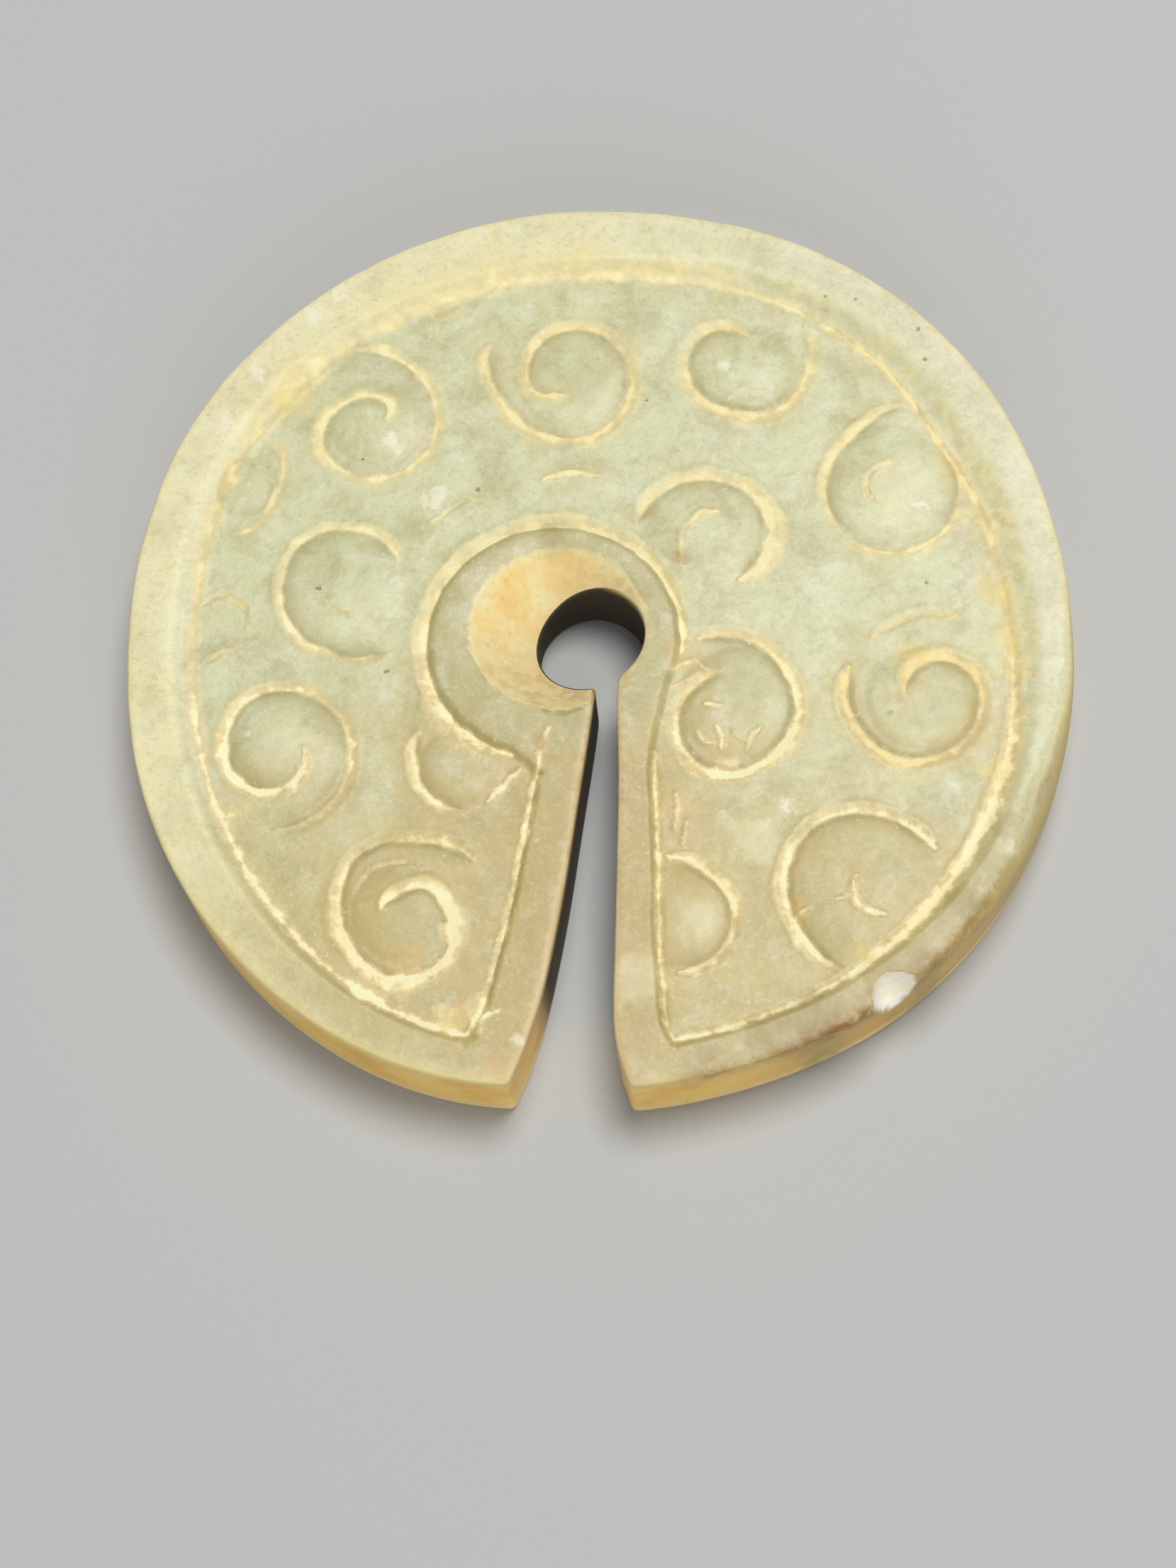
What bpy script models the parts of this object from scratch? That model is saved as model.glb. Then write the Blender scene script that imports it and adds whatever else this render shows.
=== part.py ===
"""A jade slit ring (jue): a flat disc of pale green nephrite with a small drilled hole and a slit.

Sizes are in millimetres and turned into metres as each mesh is made. Directions are in degrees,
counter-clockwise from +X, seen from above. The ring lies on its plain back at z = 0, carved face up,
and the slit opens towards -Y. Its origin is the middle of the box around the back.
"""

import math

import bmesh
import bpy
from mathutils import Vector

MM = 0.001

# The blank: a sawn slab ground to a round, worn flat in a few places.
RADIUS = 20.2
THICKNESS = 4.0
# Where the rim is worn in or stands out: the direction, how far it spreads, and how deep it is worn.
FLATS = [
    (8, 18, 0.60),
    (82, 8, 0.11),
    (180, 18, 0.58),
    (240, 14, -0.20),
    (264, 7, 0.25),
    (284, 13, 0.32),
]
RIM_STEP = 3
FOOT_ROUND = 0.25
ARRIS = 0.12
WORN_ARRIS = (337, 12, 0.65)
WORN_ARRIS_DROP = 1.3

# The sunk field, and the plain border that stands around it.
FIELD_DEPTH = 0.30
FACE = THICKNESS
FLOOR = THICKNESS - FIELD_DEPTH
# The border's width, once every 30 degrees from +X.
BORDER_STEP = 30
BORDER_WIDTHS = [2.65, 2.9, 3.0, 3.4, 3.05, 2.75, 2.7, 2.65, 2.05, 1.75, 1.75, 2.1]
BORDER_JOG = (31, 6, 0.3)
BORDER_SLOPE = 0.45
TOP_SLOPE = (95, 25, 0.5)
BAND_SLOPE = 0.25
LINE_WIDTH = 0.45
BAND_LINE_WIDTH = 0.35
LINE_DEPTH = 0.20
LINE_STEPS = 2

# The hole: a straight bore beside the point of a wider conical drilling.
BORE_CENTRE = (-0.22, -0.38)
BORE_RADIUS = 2.28
CONE_CENTRE = (-1.57, -0.15)
CONE_RADIUS = 3.68
CONE_DEPTH = 2.75
CONE_POINT = 0.1
HOLE_STEP = 10
COLLAR_CENTRE = (-1.77, -0.65)
COLLAR_RADIUS = 5.35
COLLAR_ENDS = (-6, 252)
COLLAR_LINE_WIDTH = 0.6
COLLAR_STEP = 10

# The slit's two sides and the border lines beside them, from the hole out to the rim.
SLIT_LEFT = [
    (0.0, -1.2), (-0.08, -3.3), (-0.75, -8), (-1.35, -12),
    (-2.1, -15.8), (-2.75, -18), (-3.4, -19.62), (-4, -21.2),
]
SLIT_RIGHT = [
    (1.2, -1.2), (0.88, -3.1), (0.92, -7), (0.8, -12),
    (0.68, -16.6), (0.82, -18.3), (1.25, -19.65), (1.8, -21.2),
]
SLIT_STEPS = 3
LINE_LEFT = [(-2.45, -6.6), (-2.85, -9), (-3.2, -11), (-3.6, -13), (-4.1, -15), (-4.5, -16.5), (-5.0, -17.45)]
LINE_RIGHT = [
    (2.9, -3.4), (2.4, -5.9), (2.42, -8.3), (2.5, -11),
    (2.47, -13), (2.6, -15.5), (2.75, -17.2), (3.15, -18.1),
]

# The curls. Each is a cut line that winds round a low boss: the boss's middle, the direction where the
# line starts, which way it turns, its width, and its distance from the middle at every eighth of a turn.
ANTICLOCKWISE, CLOCKWISE = 1, -1
EIGHTH_TURN = 45
CURLS = {
    "top_left": (
        (-9.4, 9.9), 104, CLOCKWISE, 0.50,
        [3.6, 2.9, 2.6, 2.6, 2.7, 2.7, 2.5, 1.7, 1.25, 0.9, 0.45],
    ),
    "top": ((-1.0, 11.8), 155, ANTICLOCKWISE, 0.55, [4.0, 3.2, 3.0, 2.9, 2.6, 2.5, 2.5, 2.4, 2.1, 1.8, 1.0]),
    "top_right": ((6.3, 12.0), 36, CLOCKWISE, 0.50, [3.4, 2.7, 2.5, 2.1, 2.2, 2.4, 2.4, 1.6]),
    "upper_right": ((12.5, 6.3), 79, ANTICLOCKWISE, 0.40, [3.8, 2.8, 2.8, 3.0, 3.2, 3.1, 2.9, 2.7]),
    "beside_collar": ((4.6, 4.2), 168, CLOCKWISE, 0.55, [2.9, 2.7, 2.6, 2.7, 2.7, 2.6]),
    "right_middle": ((5.8, -3.6), 117, CLOCKWISE, 0.50, [3.3, 2.8, 2.4, 2.5, 2.7, 3.2, 2.8, 2.0, 1.5]),
    "far_right": ((13.3, -3.6), 154, ANTICLOCKWISE, 0.55, [3.2, 2.9, 2.8, 2.6, 2.5, 2.5, 2.0, 1.2, 0.7]),
    "lower_right": ((10.7, -11.8), 31, ANTICLOCKWISE, 0.45, [3.3, 3.3, 3.4, 3.2, 3.1, 3.5]),
    "by_the_slit": ((3.2, -12.8), 95, CLOCKWISE, 0.45, [2.5, 2.2, 2.3, 2.3, 2.3]),
    "left_middle": ((-10.6, 1.9), 34, ANTICLOCKWISE, 0.40, [2.7, 2.9, 3.0, 2.7, 2.7, 2.9, 3.5]),
    "lower_left": (
        (-12.7, -5.2), 264, ANTICLOCKWISE, 0.50,
        [3.6, 3.1, 2.6, 2.5, 2.6, 2.8, 2.6, 2.4, 1.8, 1.0, 0.7],
    ),
    "bottom_left": (
        (-7.8, -12.4), 37, ANTICLOCKWISE, 0.50,
        [3.6, 3.1, 3.1, 2.6, 2.5, 2.8, 2.7, 1.9, 1.5, 0.9, 0.7, 0.8],
    ),
}
LOBES = {
    "below_collar": ((-5.5, -6.2), 140, ANTICLOCKWISE, 0.40, [2.3, 1.75, 1.8, 2.0]),
    "left_oval": ((-14.9, 6.9), 65, CLOCKWISE, 0.40, [2.2, 1.55, 1.6, 2.2]),
}
# Short shallow lines: the points, the width, the side that stands steep (1 on the left of the way the
# line runs), and the height of the surface they are cut in.
MARKS = {
    "upper_right_eye": ([(12.4, 7.3), (11.6, 6.6), (11.5, 5.8), (12.1, 5.15)], 0.35, 1, FLOOR),
    "collar_eye": ([(5.1, 5.1), (4.4, 5.0), (3.75, 4.3), (3.5, 3.3)], 0.3, 1, FLOOR),
    "lower_right_hook": ([(10.3, -11.5), (10.35, -12.2), (10.8, -12.7), (11.4, -12.9)], 0.35, 1, FLOOR),
    "above_collar": ([(-2.1, 6.95), (-1.4, 7.15), (-0.6, 7.15), (0.1, 7.0)], 0.3, -1, FLOOR),
    "under_collar": ([(-3.15, -6.4), (-3.8, -7.1), (-4.4, -7.7)], 0.3, -1, FLOOR),
    "slit_head": ([(-1.95, -4.7), (-2.2, -5.5), (-2.45, -6.7)], 0.35, 1, FACE),
}
CURL_STEP = 15
BOSS_HEIGHT = 0.20
BOSS_SHARE = 0.95
# A boss's rings, as shares of its radius, and how high its lowest ring stands out of the floor, as a
# share of the boss's height.
BOSS_RINGS = (1.0, 0.7, 0.35)
BOSS_LIP = 0.02

# A cut's section: the share of its width on the gentle side, how far the cutter widens above the surface
# for each unit that it rises, and how the cut runs out at its ends.
LINE_LEAN = 0.7
GENTLE_FLARE = 0.5
STEEP_FLARE = 0.17
TAPER_STEPS = 2
TAPER_START = 0.3

# A chip out of the lower right edge.
CHIP_CENTRE = (11.7, -16.4)
CHIP_SIZE = (0.95, 0.80, 0.40)
CHIP_TILTS = (-70, -35, 0, 35, 70)
CHIP_STEP = 40
CHIP_SKEW = 12

# How far the cutters stand out of the stone: a cut's, over the face, and a drill's or a saw's, on both sides.
CUT_CLEARANCE = 0.1
DRILL_CLEARANCE = 1


def bump(direction, middle, spread):
    """1 at the middle direction, falling smoothly to 0 about two spreads away."""
    away = (direction - middle + 180) % 360 - 180
    return math.exp(-0.5 * (away / spread) ** 2)


def rim_radius(direction):
    return RADIUS - sum(depth * bump(direction, middle, spread) for middle, spread, depth in FLATS)


def arris_width(direction):
    middle, spread, extra = WORN_ARRIS
    return ARRIS + extra * bump(direction, middle, spread)


def polar(centre, direction, distance):
    angle = math.radians(direction)
    return centre[0] + distance * math.cos(angle), centre[1] + distance * math.sin(angle)


def smooth(values, place):
    """The value at a fractional place along a list, on a Catmull-Rom curve through its values."""
    index = min(int(place), len(values) - 2)
    share = place - index
    a = values[max(index - 1, 0)]
    b, c = values[index], values[index + 1]
    d = values[min(index + 2, len(values) - 1)]
    return b + 0.5 * share * (c - a + share * (2 * a - 5 * b + 4 * c - d + share * (3 * (b - c) + d - a)))


def smooth_line(points, steps):
    """Points along a smooth curve through the given ones, a few steps for each stretch."""
    places = [i / steps for i in range((len(points) - 1) * steps + 1)]
    xs, ys = zip(*points)
    return [(smooth(xs, place), smooth(ys, place)) for place in places]


def border_width(direction):
    """The width of the border in a direction, on a smooth ring through its listed widths."""
    widths = BORDER_WIDTHS[-2:] + BORDER_WIDTHS + BORDER_WIDTHS[:2]
    middle, spread, extra = BORDER_JOG
    return smooth(widths, (direction % 360) / BORDER_STEP + 2) + extra * bump(direction, middle, spread)


def rim_line(first, last, inset_of):
    """The line that follows the rim at a varying inset, from one direction round to another."""
    steps = round((last - first) / RIM_STEP)
    directions = [first + (last - first) * i / steps for i in range(steps + 1)]
    return [polar((0, 0), d, rim_radius(d) - inset_of(d)) for d in directions]


def direction_of(point):
    return math.degrees(math.atan2(point[1], point[0]))


def box_middle():
    """The middle of the box around the blank, measured from the middle of the rim's circle."""
    outline = rim_line(direction_of(SLIT_RIGHT[-2]), direction_of(SLIT_LEFT[-2]) + 360, lambda d: 0)
    xs, ys = zip(*outline)
    return (min(xs) + max(xs)) / 2, (min(ys) + max(ys)) / 2


MIDDLE = box_middle()


def in_metres(point):
    x, y, z = point
    return (x - MIDDLE[0]) * MM, (y - MIDDLE[1]) * MM, z * MM


def material_of(name, colour, roughness):
    material = bpy.data.materials.new(name)
    material.use_nodes = True
    shader = material.node_tree.nodes["Principled BSDF"]
    shader.inputs["Base Color"].default_value = (*colour, 1)
    shader.inputs["Roughness"].default_value = roughness
    shader.inputs["Metallic"].default_value = 0
    return material


def mesh_object(name, points, faces, collection):
    mesh = bpy.data.meshes.new(name)
    mesh.from_pydata([in_metres(point) for point in points], [], faces)
    tidy = bmesh.new()
    tidy.from_mesh(mesh)
    bmesh.ops.recalc_face_normals(tidy, faces=tidy.faces)
    tidy.to_mesh(mesh)
    tidy.free()
    obj = bpy.data.objects.new(name, mesh)
    collection.objects.link(obj)
    return obj


def loft(name, rings, collection):
    """A closed solid through rings of equally many points, with flat ends."""
    count = len(rings[0])
    points = [point for ring in rings for point in ring]
    faces = []
    for low in range(0, (len(rings) - 1) * count, count):
        for i in range(count):
            j = (i + 1) % count
            faces.append((low + i, low + j, low + count + j, low + count + i))
    faces.append(tuple(reversed(range(count))))
    faces.append(tuple(range(len(points) - count, len(points))))
    return mesh_object(name, points, faces, collection)


def helper_collection(name):
    collection = bpy.data.collections.new(name)
    bpy.context.scene.collection.children.link(collection)
    return collection


def hide_helpers(collection):
    for obj in collection.objects:
        obj.hide_render = True
        obj.display_type = "WIRE"


def add_boolean(obj, name, operation, collection):
    modifier = obj.modifiers.new(name, "BOOLEAN")
    modifier.operation = operation
    modifier.solver = "EXACT"
    modifier.operand_type = "COLLECTION"
    modifier.collection = collection


def make_blank():
    """The disc: a rounded foot, an upright side, and an upper edge that is worn widest at the lower right."""
    directions = range(0, 360, RIM_STEP)
    rings = [[], [], [], []]
    for direction in directions:
        radius = rim_radius(direction)
        worn = arris_width(direction)
        rings[0].append((*polar((0, 0), direction, radius - FOOT_ROUND), 0))
        rings[1].append((*polar((0, 0), direction, radius), FOOT_ROUND))
        rings[2].append((*polar((0, 0), direction, radius), THICKNESS - worn * WORN_ARRIS_DROP))
        rings[3].append((*polar((0, 0), direction, radius - worn), THICKNESS))
    return loft("slit_ring", rings, bpy.context.scene.collection)


def collar_arc():
    first, last = COLLAR_ENDS
    steps = round((last - first) / COLLAR_STEP)
    return [polar(COLLAR_CENTRE, first + (last - first) * i / steps, COLLAR_RADIUS) for i in range(steps + 1)]


def border_line():
    first = direction_of(LINE_RIGHT[-1])
    last = direction_of(LINE_LEFT[-1]) + 360
    return rim_line(first, last, border_width)


def make_field(collection):
    """The C-shaped area sunk between the border, the slit's two bands and the collar, with sloping sides."""
    above = FACE + FIELD_DEPTH
    outer = border_line()
    left, right = smooth_line(LINE_LEFT, LINE_STEPS), smooth_line(LINE_RIGHT, LINE_STEPS)
    outline = outer + (left[::-1] + collar_arc()[::-1] + right)[1:-1]
    count = len(outline)
    low, high = [], []
    for i, point in enumerate(outline):
        along = Vector(outline[(i + 1) % count]) - Vector(outline[i - 1])
        along.normalize()
        outwards = Vector((along.y, -along.x))
        slope = BAND_SLOPE
        if i < len(outer):
            middle, spread, extra = TOP_SLOPE
            slope = BORDER_SLOPE + extra * bump(direction_of(point), middle, spread)
        shift = outwards * slope * (above - FLOOR) / FIELD_DEPTH
        low.append((*point, FLOOR))
        high.append((point[0] + shift.x, point[1] + shift.y, above))
    loft("field", [low, high], collection)


def boss_radius(radii):
    """A little less than the mean distance of the curl's line, without its two ends."""
    return BOSS_SHARE * sum(radii[1:-1]) / len(radii[1:-1])


def make_boss(name, centre, radius, collection):
    """A low dome that stands on the field's floor."""
    rings = []
    for share in BOSS_RINGS:
        height = FLOOR + BOSS_HEIGHT * (1 + BOSS_LIP - share**2)
        rings.append([(*polar(centre, d, radius * share), height) for d in range(0, 360, CURL_STEP)])
    foot = [(x, y, FLOOR - BOSS_HEIGHT) for x, y, _ in rings[0]]
    loft(f"boss_{name}", [foot] + rings, collection)


def make_cut(name, line, width, inner_side, collection, surface=FLOOR):
    """A slanting V cut along a line: the side towards the inside stands steep, the other slopes gently."""
    depth = LINE_DEPTH * width / LINE_WIDTH
    above = FIELD_DEPTH + CUT_CLEARANCE
    gentle = -LINE_LEAN * width
    steep = (1 - LINE_LEAN) * width
    section = [
        (gentle - GENTLE_FLARE * above, above),
        (gentle, 0),
        (0, -depth),
        (steep, 0),
        (steep + STEEP_FLARE * above, above),
    ]
    rings = []
    last = len(line) - 1
    for i, point in enumerate(line):
        along = Vector(line[min(i + 1, last)]) - Vector(line[max(i - 1, 0)])
        along.normalize()
        inwards = Vector((-along.y, along.x)) * inner_side
        share = min(1, (min(i, last - i) + TAPER_START) / TAPER_STEPS)
        ring = []
        for offset, height in section:
            across = inwards * offset * share
            if height < 0:
                height *= share
            ring.append((point[0] + across.x, point[1] + across.y, surface + height))
        rings.append(ring)
    loft(f"cut_{name}", rings, collection)


def curl_line(centre, start, turn, radii):
    """The winding line of a curl."""
    steps = (len(radii) - 1) * EIGHTH_TURN // CURL_STEP
    line = []
    for i in range(steps + 1):
        distance = smooth(radii, i * CURL_STEP / EIGHTH_TURN)
        line.append(polar(centre, start + turn * i * CURL_STEP, distance))
    return line


def make_hole(collection):
    """The bore, and the cone of the wider drilling beside it."""
    top = FACE + DRILL_CLEARANCE
    directions = range(0, 360, HOLE_STEP)
    bore = [[(*polar(BORE_CENTRE, d, BORE_RADIUS), z) for d in directions] for z in (-DRILL_CLEARANCE, top)]
    loft("bore", bore, collection)
    cone = []
    for share in (CONE_POINT, 1, 1 + DRILL_CLEARANCE / CONE_DEPTH):
        height = FACE + (share - 1) * CONE_DEPTH
        cone.append([(*polar(CONE_CENTRE, d, share * CONE_RADIUS), height) for d in directions])
    loft("cone", cone, collection)


def make_slit(collection):
    """The saw cut from the hole to the rim, narrow inside and flared at the mouth."""
    outline = smooth_line(SLIT_LEFT, SLIT_STEPS) + smooth_line(SLIT_RIGHT, SLIT_STEPS)[::-1]
    heights = (-DRILL_CLEARANCE, FACE + DRILL_CLEARANCE)
    loft("slit", [[(x, y, z) for x, y in outline] for z in heights], collection)


def make_chip(collection):
    """A shallow flake lost from the edge."""
    rings = []
    for tilt in CHIP_TILTS:
        reach = math.cos(math.radians(tilt))
        height = FACE + CHIP_SIZE[2] * math.sin(math.radians(tilt))
        ring = []
        for d in range(0, 360, CHIP_STEP):
            x = CHIP_CENTRE[0] + CHIP_SIZE[0] * reach * math.cos(math.radians(d))
            y = CHIP_CENTRE[1] + CHIP_SIZE[1] * reach * math.sin(math.radians(d + CHIP_SKEW))
            ring.append((x, y, height))
        rings.append(ring)
    loft("chip", rings, collection)


def main():
    for obj in list(bpy.data.objects):
        bpy.data.objects.remove(obj, do_unlink=True)

    ring = make_blank()
    jade = material_of("jade", (0.62, 0.60, 0.36), 0.35)
    ring.data.materials.append(jade)

    sinking = helper_collection("sinking")
    make_field(sinking)
    hide_helpers(sinking)

    bosses = helper_collection("bosses")
    for name, (centre, _, _, _, radii) in {**CURLS, **LOBES}.items():
        make_boss(name, centre, boss_radius(radii), bosses)
    hide_helpers(bosses)

    cuts = helper_collection("cuts")
    make_cut("border", border_line(), LINE_WIDTH, -1, cuts)
    make_cut("collar", collar_arc(), COLLAR_LINE_WIDTH, 1, cuts)
    make_cut("left_of_slit", smooth_line(LINE_LEFT, LINE_STEPS), BAND_LINE_WIDTH, 1, cuts)
    make_cut("right_of_slit", smooth_line(LINE_RIGHT[1:], LINE_STEPS), BAND_LINE_WIDTH, -1, cuts)
    for name, (centre, start, turn, width, radii) in {**CURLS, **LOBES}.items():
        make_cut(name, curl_line(centre, start, turn, radii), width, turn, cuts)
    for name, (points, width, inner_side, surface) in MARKS.items():
        make_cut(name, smooth_line(points, LINE_STEPS), width, inner_side, cuts, surface)
    hide_helpers(cuts)

    drilling = helper_collection("drilling")
    make_hole(drilling)
    make_slit(drilling)
    make_chip(drilling)
    hide_helpers(drilling)

    add_boolean(ring, "sink the field", "DIFFERENCE", sinking)
    add_boolean(ring, "raise the bosses", "UNION", bosses)
    add_boolean(ring, "cut the lines", "DIFFERENCE", cuts)
    add_boolean(ring, "drill and slit", "DIFFERENCE", drilling)
    ring.data.shade_smooth()
    ring.data.set_sharp_from_angle(angle=math.radians(30))


main()
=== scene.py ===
"""A jade slit ring (jue): one pale green nephrite disc, drilled, slit, carved with curls and worn.

Sizes are in millimetres, measured from the middle of the rim's circle, and become metres as the mesh is
made. Directions are in degrees, counter-clockwise from +X, seen from above.
"""

import math

import bpy
import numpy as np
from mathutils import Matrix, Vector
from mathutils.geometry import delaunay_2d_cdt
from mathutils.kdtree import KDTree


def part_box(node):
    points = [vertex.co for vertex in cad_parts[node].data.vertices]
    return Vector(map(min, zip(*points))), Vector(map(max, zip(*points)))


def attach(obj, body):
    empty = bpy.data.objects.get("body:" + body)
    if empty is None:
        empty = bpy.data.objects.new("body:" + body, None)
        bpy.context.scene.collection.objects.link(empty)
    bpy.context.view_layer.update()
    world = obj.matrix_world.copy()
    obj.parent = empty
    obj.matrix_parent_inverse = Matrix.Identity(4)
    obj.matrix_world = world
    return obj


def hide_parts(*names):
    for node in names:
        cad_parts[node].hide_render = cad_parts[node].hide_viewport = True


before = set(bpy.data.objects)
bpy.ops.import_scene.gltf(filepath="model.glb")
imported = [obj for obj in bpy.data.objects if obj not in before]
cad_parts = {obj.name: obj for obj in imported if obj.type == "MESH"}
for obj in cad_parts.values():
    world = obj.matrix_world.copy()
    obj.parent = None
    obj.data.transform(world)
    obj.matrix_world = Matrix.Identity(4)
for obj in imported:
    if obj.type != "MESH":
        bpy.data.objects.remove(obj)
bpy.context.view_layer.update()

# ------------------------------
# The blank is a slab of nephrite, sawn about 4 mm thick and ground to a round by hand. Rubbing has worn
# the rim flat in places and taken its upper edge off, most of all at the lower right.
MM = 0.001
RADIUS = 20.2
low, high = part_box("slit_ring")
THICKNESS = (high[2] - low[2]) / MM
# Where the rim is worn in or stands out: the direction, how far it spreads, and how deep it is worn.
FLATS = [(8, 18, 0.60), (82, 8, 0.11), (180, 18, 0.58), (240, 14, -0.20), (264, 7, 0.25), (284, 13, 0.32)]
ARRIS = 0.13
WORN_ARRIS = (337, 12, 0.65)
WORN_ARRIS_DROP = 1.3
ARRIS_STEPS = 5
FOOT_ROUND = 0.25
FOOT_STEPS = 3
WALL_STEPS = 11
CROWN_WIDTH = 2.2
CROWN_DROP = 0.10
RIM_GAP = 0.15
DIRECTION_STEP = 0.4
chance = np.random.default_rng(7)


def bump(directions, middle, spread):
    """1 at the middle direction, falling smoothly to 0 about two spreads away."""
    away = (np.asarray(directions, float) - middle + 180) % 360 - 180
    return np.exp(-0.5 * (away / spread) ** 2)


def rim_radius(directions):
    return RADIUS - sum(depth * bump(directions, middle, spread) for middle, spread, depth in FLATS)


def polar(centre, directions, distances):
    angles = np.radians(directions)
    return np.column_stack([centre[0] + distances * np.cos(angles), centre[1] + distances * np.sin(angles)])


def direction_of(points, centre=(0, 0)):
    return np.degrees(np.arctan2(points[:, 1] - centre[1], points[:, 0] - centre[0]))


def distance_of(points, centre=(0, 0)):
    return np.hypot(points[:, 0] - centre[0], points[:, 1] - centre[1])


def rise(values, start, end):
    """0 up to the start, 1 from the end on, and smooth between them."""
    share = np.clip((np.asarray(values, float) - start) / (end - start), 0, 1)
    return share * share * (3 - 2 * share)


def evenly(line, gap, closed=False):
    """The line again, with its points about one gap apart."""
    line = np.asarray(line, float)
    if closed:
        line = np.vstack([line, line[:1]])
    along = np.concatenate([[0], np.cumsum(np.hypot(*np.diff(line, axis=0).T))])
    places = np.linspace(0, along[-1], max(round(along[-1] / gap), 2) + 1)
    if closed:
        places = places[:-1]
    return np.column_stack([np.interp(places, along, line[:, axis]) for axis in (0, 1)])


def leftwards(line, closed=False):
    """Unit vectors to the left of the way the line runs."""
    ahead = np.roll(line, -1, 0) - np.roll(line, 1, 0) if closed else np.gradient(line, axis=0)
    ahead = ahead / np.hypot(*ahead.T)[:, None]
    return np.column_stack([-ahead[:, 1], ahead[:, 0]])


def eased(values, times):
    """Values round a closed loop, each time averaged with their neighbours."""
    for _ in range(times):
        values = (np.roll(values, 1, 0) + 2 * values + np.roll(values, -1, 0)) / 4
    return values


# ------------------------------
# The hole was drilled from the carved side with a wide pointed drill, then opened by a straight bore
# beside its point. A collar was left standing round it, with a cut line outside it.
BORE_CENTRE = (-0.22, -0.38)
BORE_RADIUS = 2.28
CONE_CENTRE = (-1.57, -0.15)
CONE_RADIUS = 3.68
CONE_DEPTH = 2.75
CONE_EDGE = 0.12
COLLAR_CENTRE = (-1.77, -0.65)
COLLAR_RADIUS = 5.35
COLLAR_ENDS = (-6, 252)
COLLAR_ROUNDING = 0.10


def drilled(points, heights):
    """The heights with the collar rounded over and the cone cut in."""
    directions = direction_of(points, COLLAR_CENTRE)
    inside_line = COLLAR_RADIUS - distance_of(points, COLLAR_CENTRE)
    outside_cone = distance_of(points, CONE_CENTRE) - CONE_RADIUS
    band = np.clip(inside_line, 0, None) + np.clip(outside_cone, 0, None) + 1e-6
    share = np.clip(inside_line, 0, None) / band
    on_collar = rise(inside_line, -0.05, 0.1) * bump(directions, 120, 75)
    heights = heights - COLLAR_ROUNDING * on_collar * (2 * share - 1) ** 2
    cone = THICKNESS + outside_cone * CONE_DEPTH / CONE_RADIUS
    # A soft minimum, so that the cone's edge is rounded and not sharp.
    gap = heights - cone
    rounding = CONE_EDGE / 2 * np.exp(-np.abs(gap) / CONE_EDGE)
    return heights - (gap + np.sqrt(gap**2 + CONE_EDGE**2)) / 2 + rounding


# ------------------------------
# The slit was sawn from the rim into the hole with a cord or a thin blade and abrasive. It flares at
# the mouth, and its edges are worn pale. With it the ring has one outline, rim, slit and hole together.
SLIT_LEFT = [
    (0.0, -1.2), (-0.08, -3.3), (-0.75, -8), (-1.35, -12), (-2.1, -15.8), (-2.75, -18), (-3.4, -19.62),
    (-4, -21.2),
]
SLIT_RIGHT = [
    (1.2, -1.2), (0.88, -3.1), (0.92, -7), (0.8, -12), (0.68, -16.6), (0.82, -18.3), (1.25, -19.65),
    (1.8, -21.2),
]
SIDE_GAP = 0.05
SLIT_ARRIS = 0.14
BORE_ARRIS = 0.10
# The worn edge's unevenness, fine and broad: how often it is eased, and how large it is.
NICKS = [(6, 0.12), (60, 0.6)]


def between(a, b, c, d, share):
    """The place a share of the way from b to c, on a Catmull-Rom curve through all four."""
    bend = 2 * a - 5 * b + 4 * c - d
    twist = 3 * (b - c) + d - a
    return b + 0.5 * share * (c - a + share * (bend + share * twist))


def smooth_line(points, gap):
    """A line through the points, on a Catmull-Rom curve, with its own points about one gap apart."""
    points = np.asarray(points, float)
    ends = np.vstack([2 * points[0] - points[1], points, 2 * points[-1] - points[-2]])
    pieces = []
    share = np.linspace(0, 1, 24, endpoint=False)[:, None]
    for four in zip(ends, ends[1:], ends[2:], ends[3:]):
        pieces.append(between(*four, share))
    return evenly(np.vstack(pieces + [points[-1:]]), gap)


def slit_side(points):
    """The part of a side that lies between the hole and the rim."""
    line = smooth_line(points, SIDE_GAP)
    kept = distance_of(line, BORE_CENTRE) > BORE_RADIUS
    kept &= distance_of(line) < rim_radius(direction_of(line))
    return line[kept]


slit_left = slit_side(SLIT_LEFT)
slit_right = slit_side(SLIT_RIGHT)
first, last = direction_of(slit_right[-1:])[0], direction_of(slit_left[-1:])[0] + 360
rim_directions = np.arange(first, last, DIRECTION_STEP)
bore_first = direction_of(slit_left[:1], BORE_CENTRE)[0]
bore_last = direction_of(slit_right[:1], BORE_CENTRE)[0]
bore_directions = np.arange(bore_first + 360, bore_last, -3)
outline = np.vstack(
    [
        polar((0, 0), rim_directions, rim_radius(rim_directions)),
        slit_left[::-1],
        polar(BORE_CENTRE, bore_directions, BORE_RADIUS),
        slit_right,
    ]
)
middle = (outline.min(0) + outline.max(0)) / 2
outline = eased(evenly(outline, RIM_GAP, closed=True), 2)
inwards = leftwards(outline, closed=True)
outline_directions = direction_of(outline)
on_rim = eased((rim_radius(outline_directions) - distance_of(outline) < 0.1).astype(float), 4)
on_bore = eased((distance_of(outline, BORE_CENTRE) < BORE_RADIUS + 0.1).astype(float), 4)
nicks = 0
for times, size in NICKS:
    nicks = nicks + eased(chance.normal(0, 1, len(outline)), times) * size
worn_middle, worn_spread, worn_extra = WORN_ARRIS
rim_arris = ARRIS + worn_extra * bump(outline_directions, worn_middle, worn_spread)
arris = on_rim * rim_arris + on_bore * BORE_ARRIS + (1 - on_rim - on_bore) * SLIT_ARRIS
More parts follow.
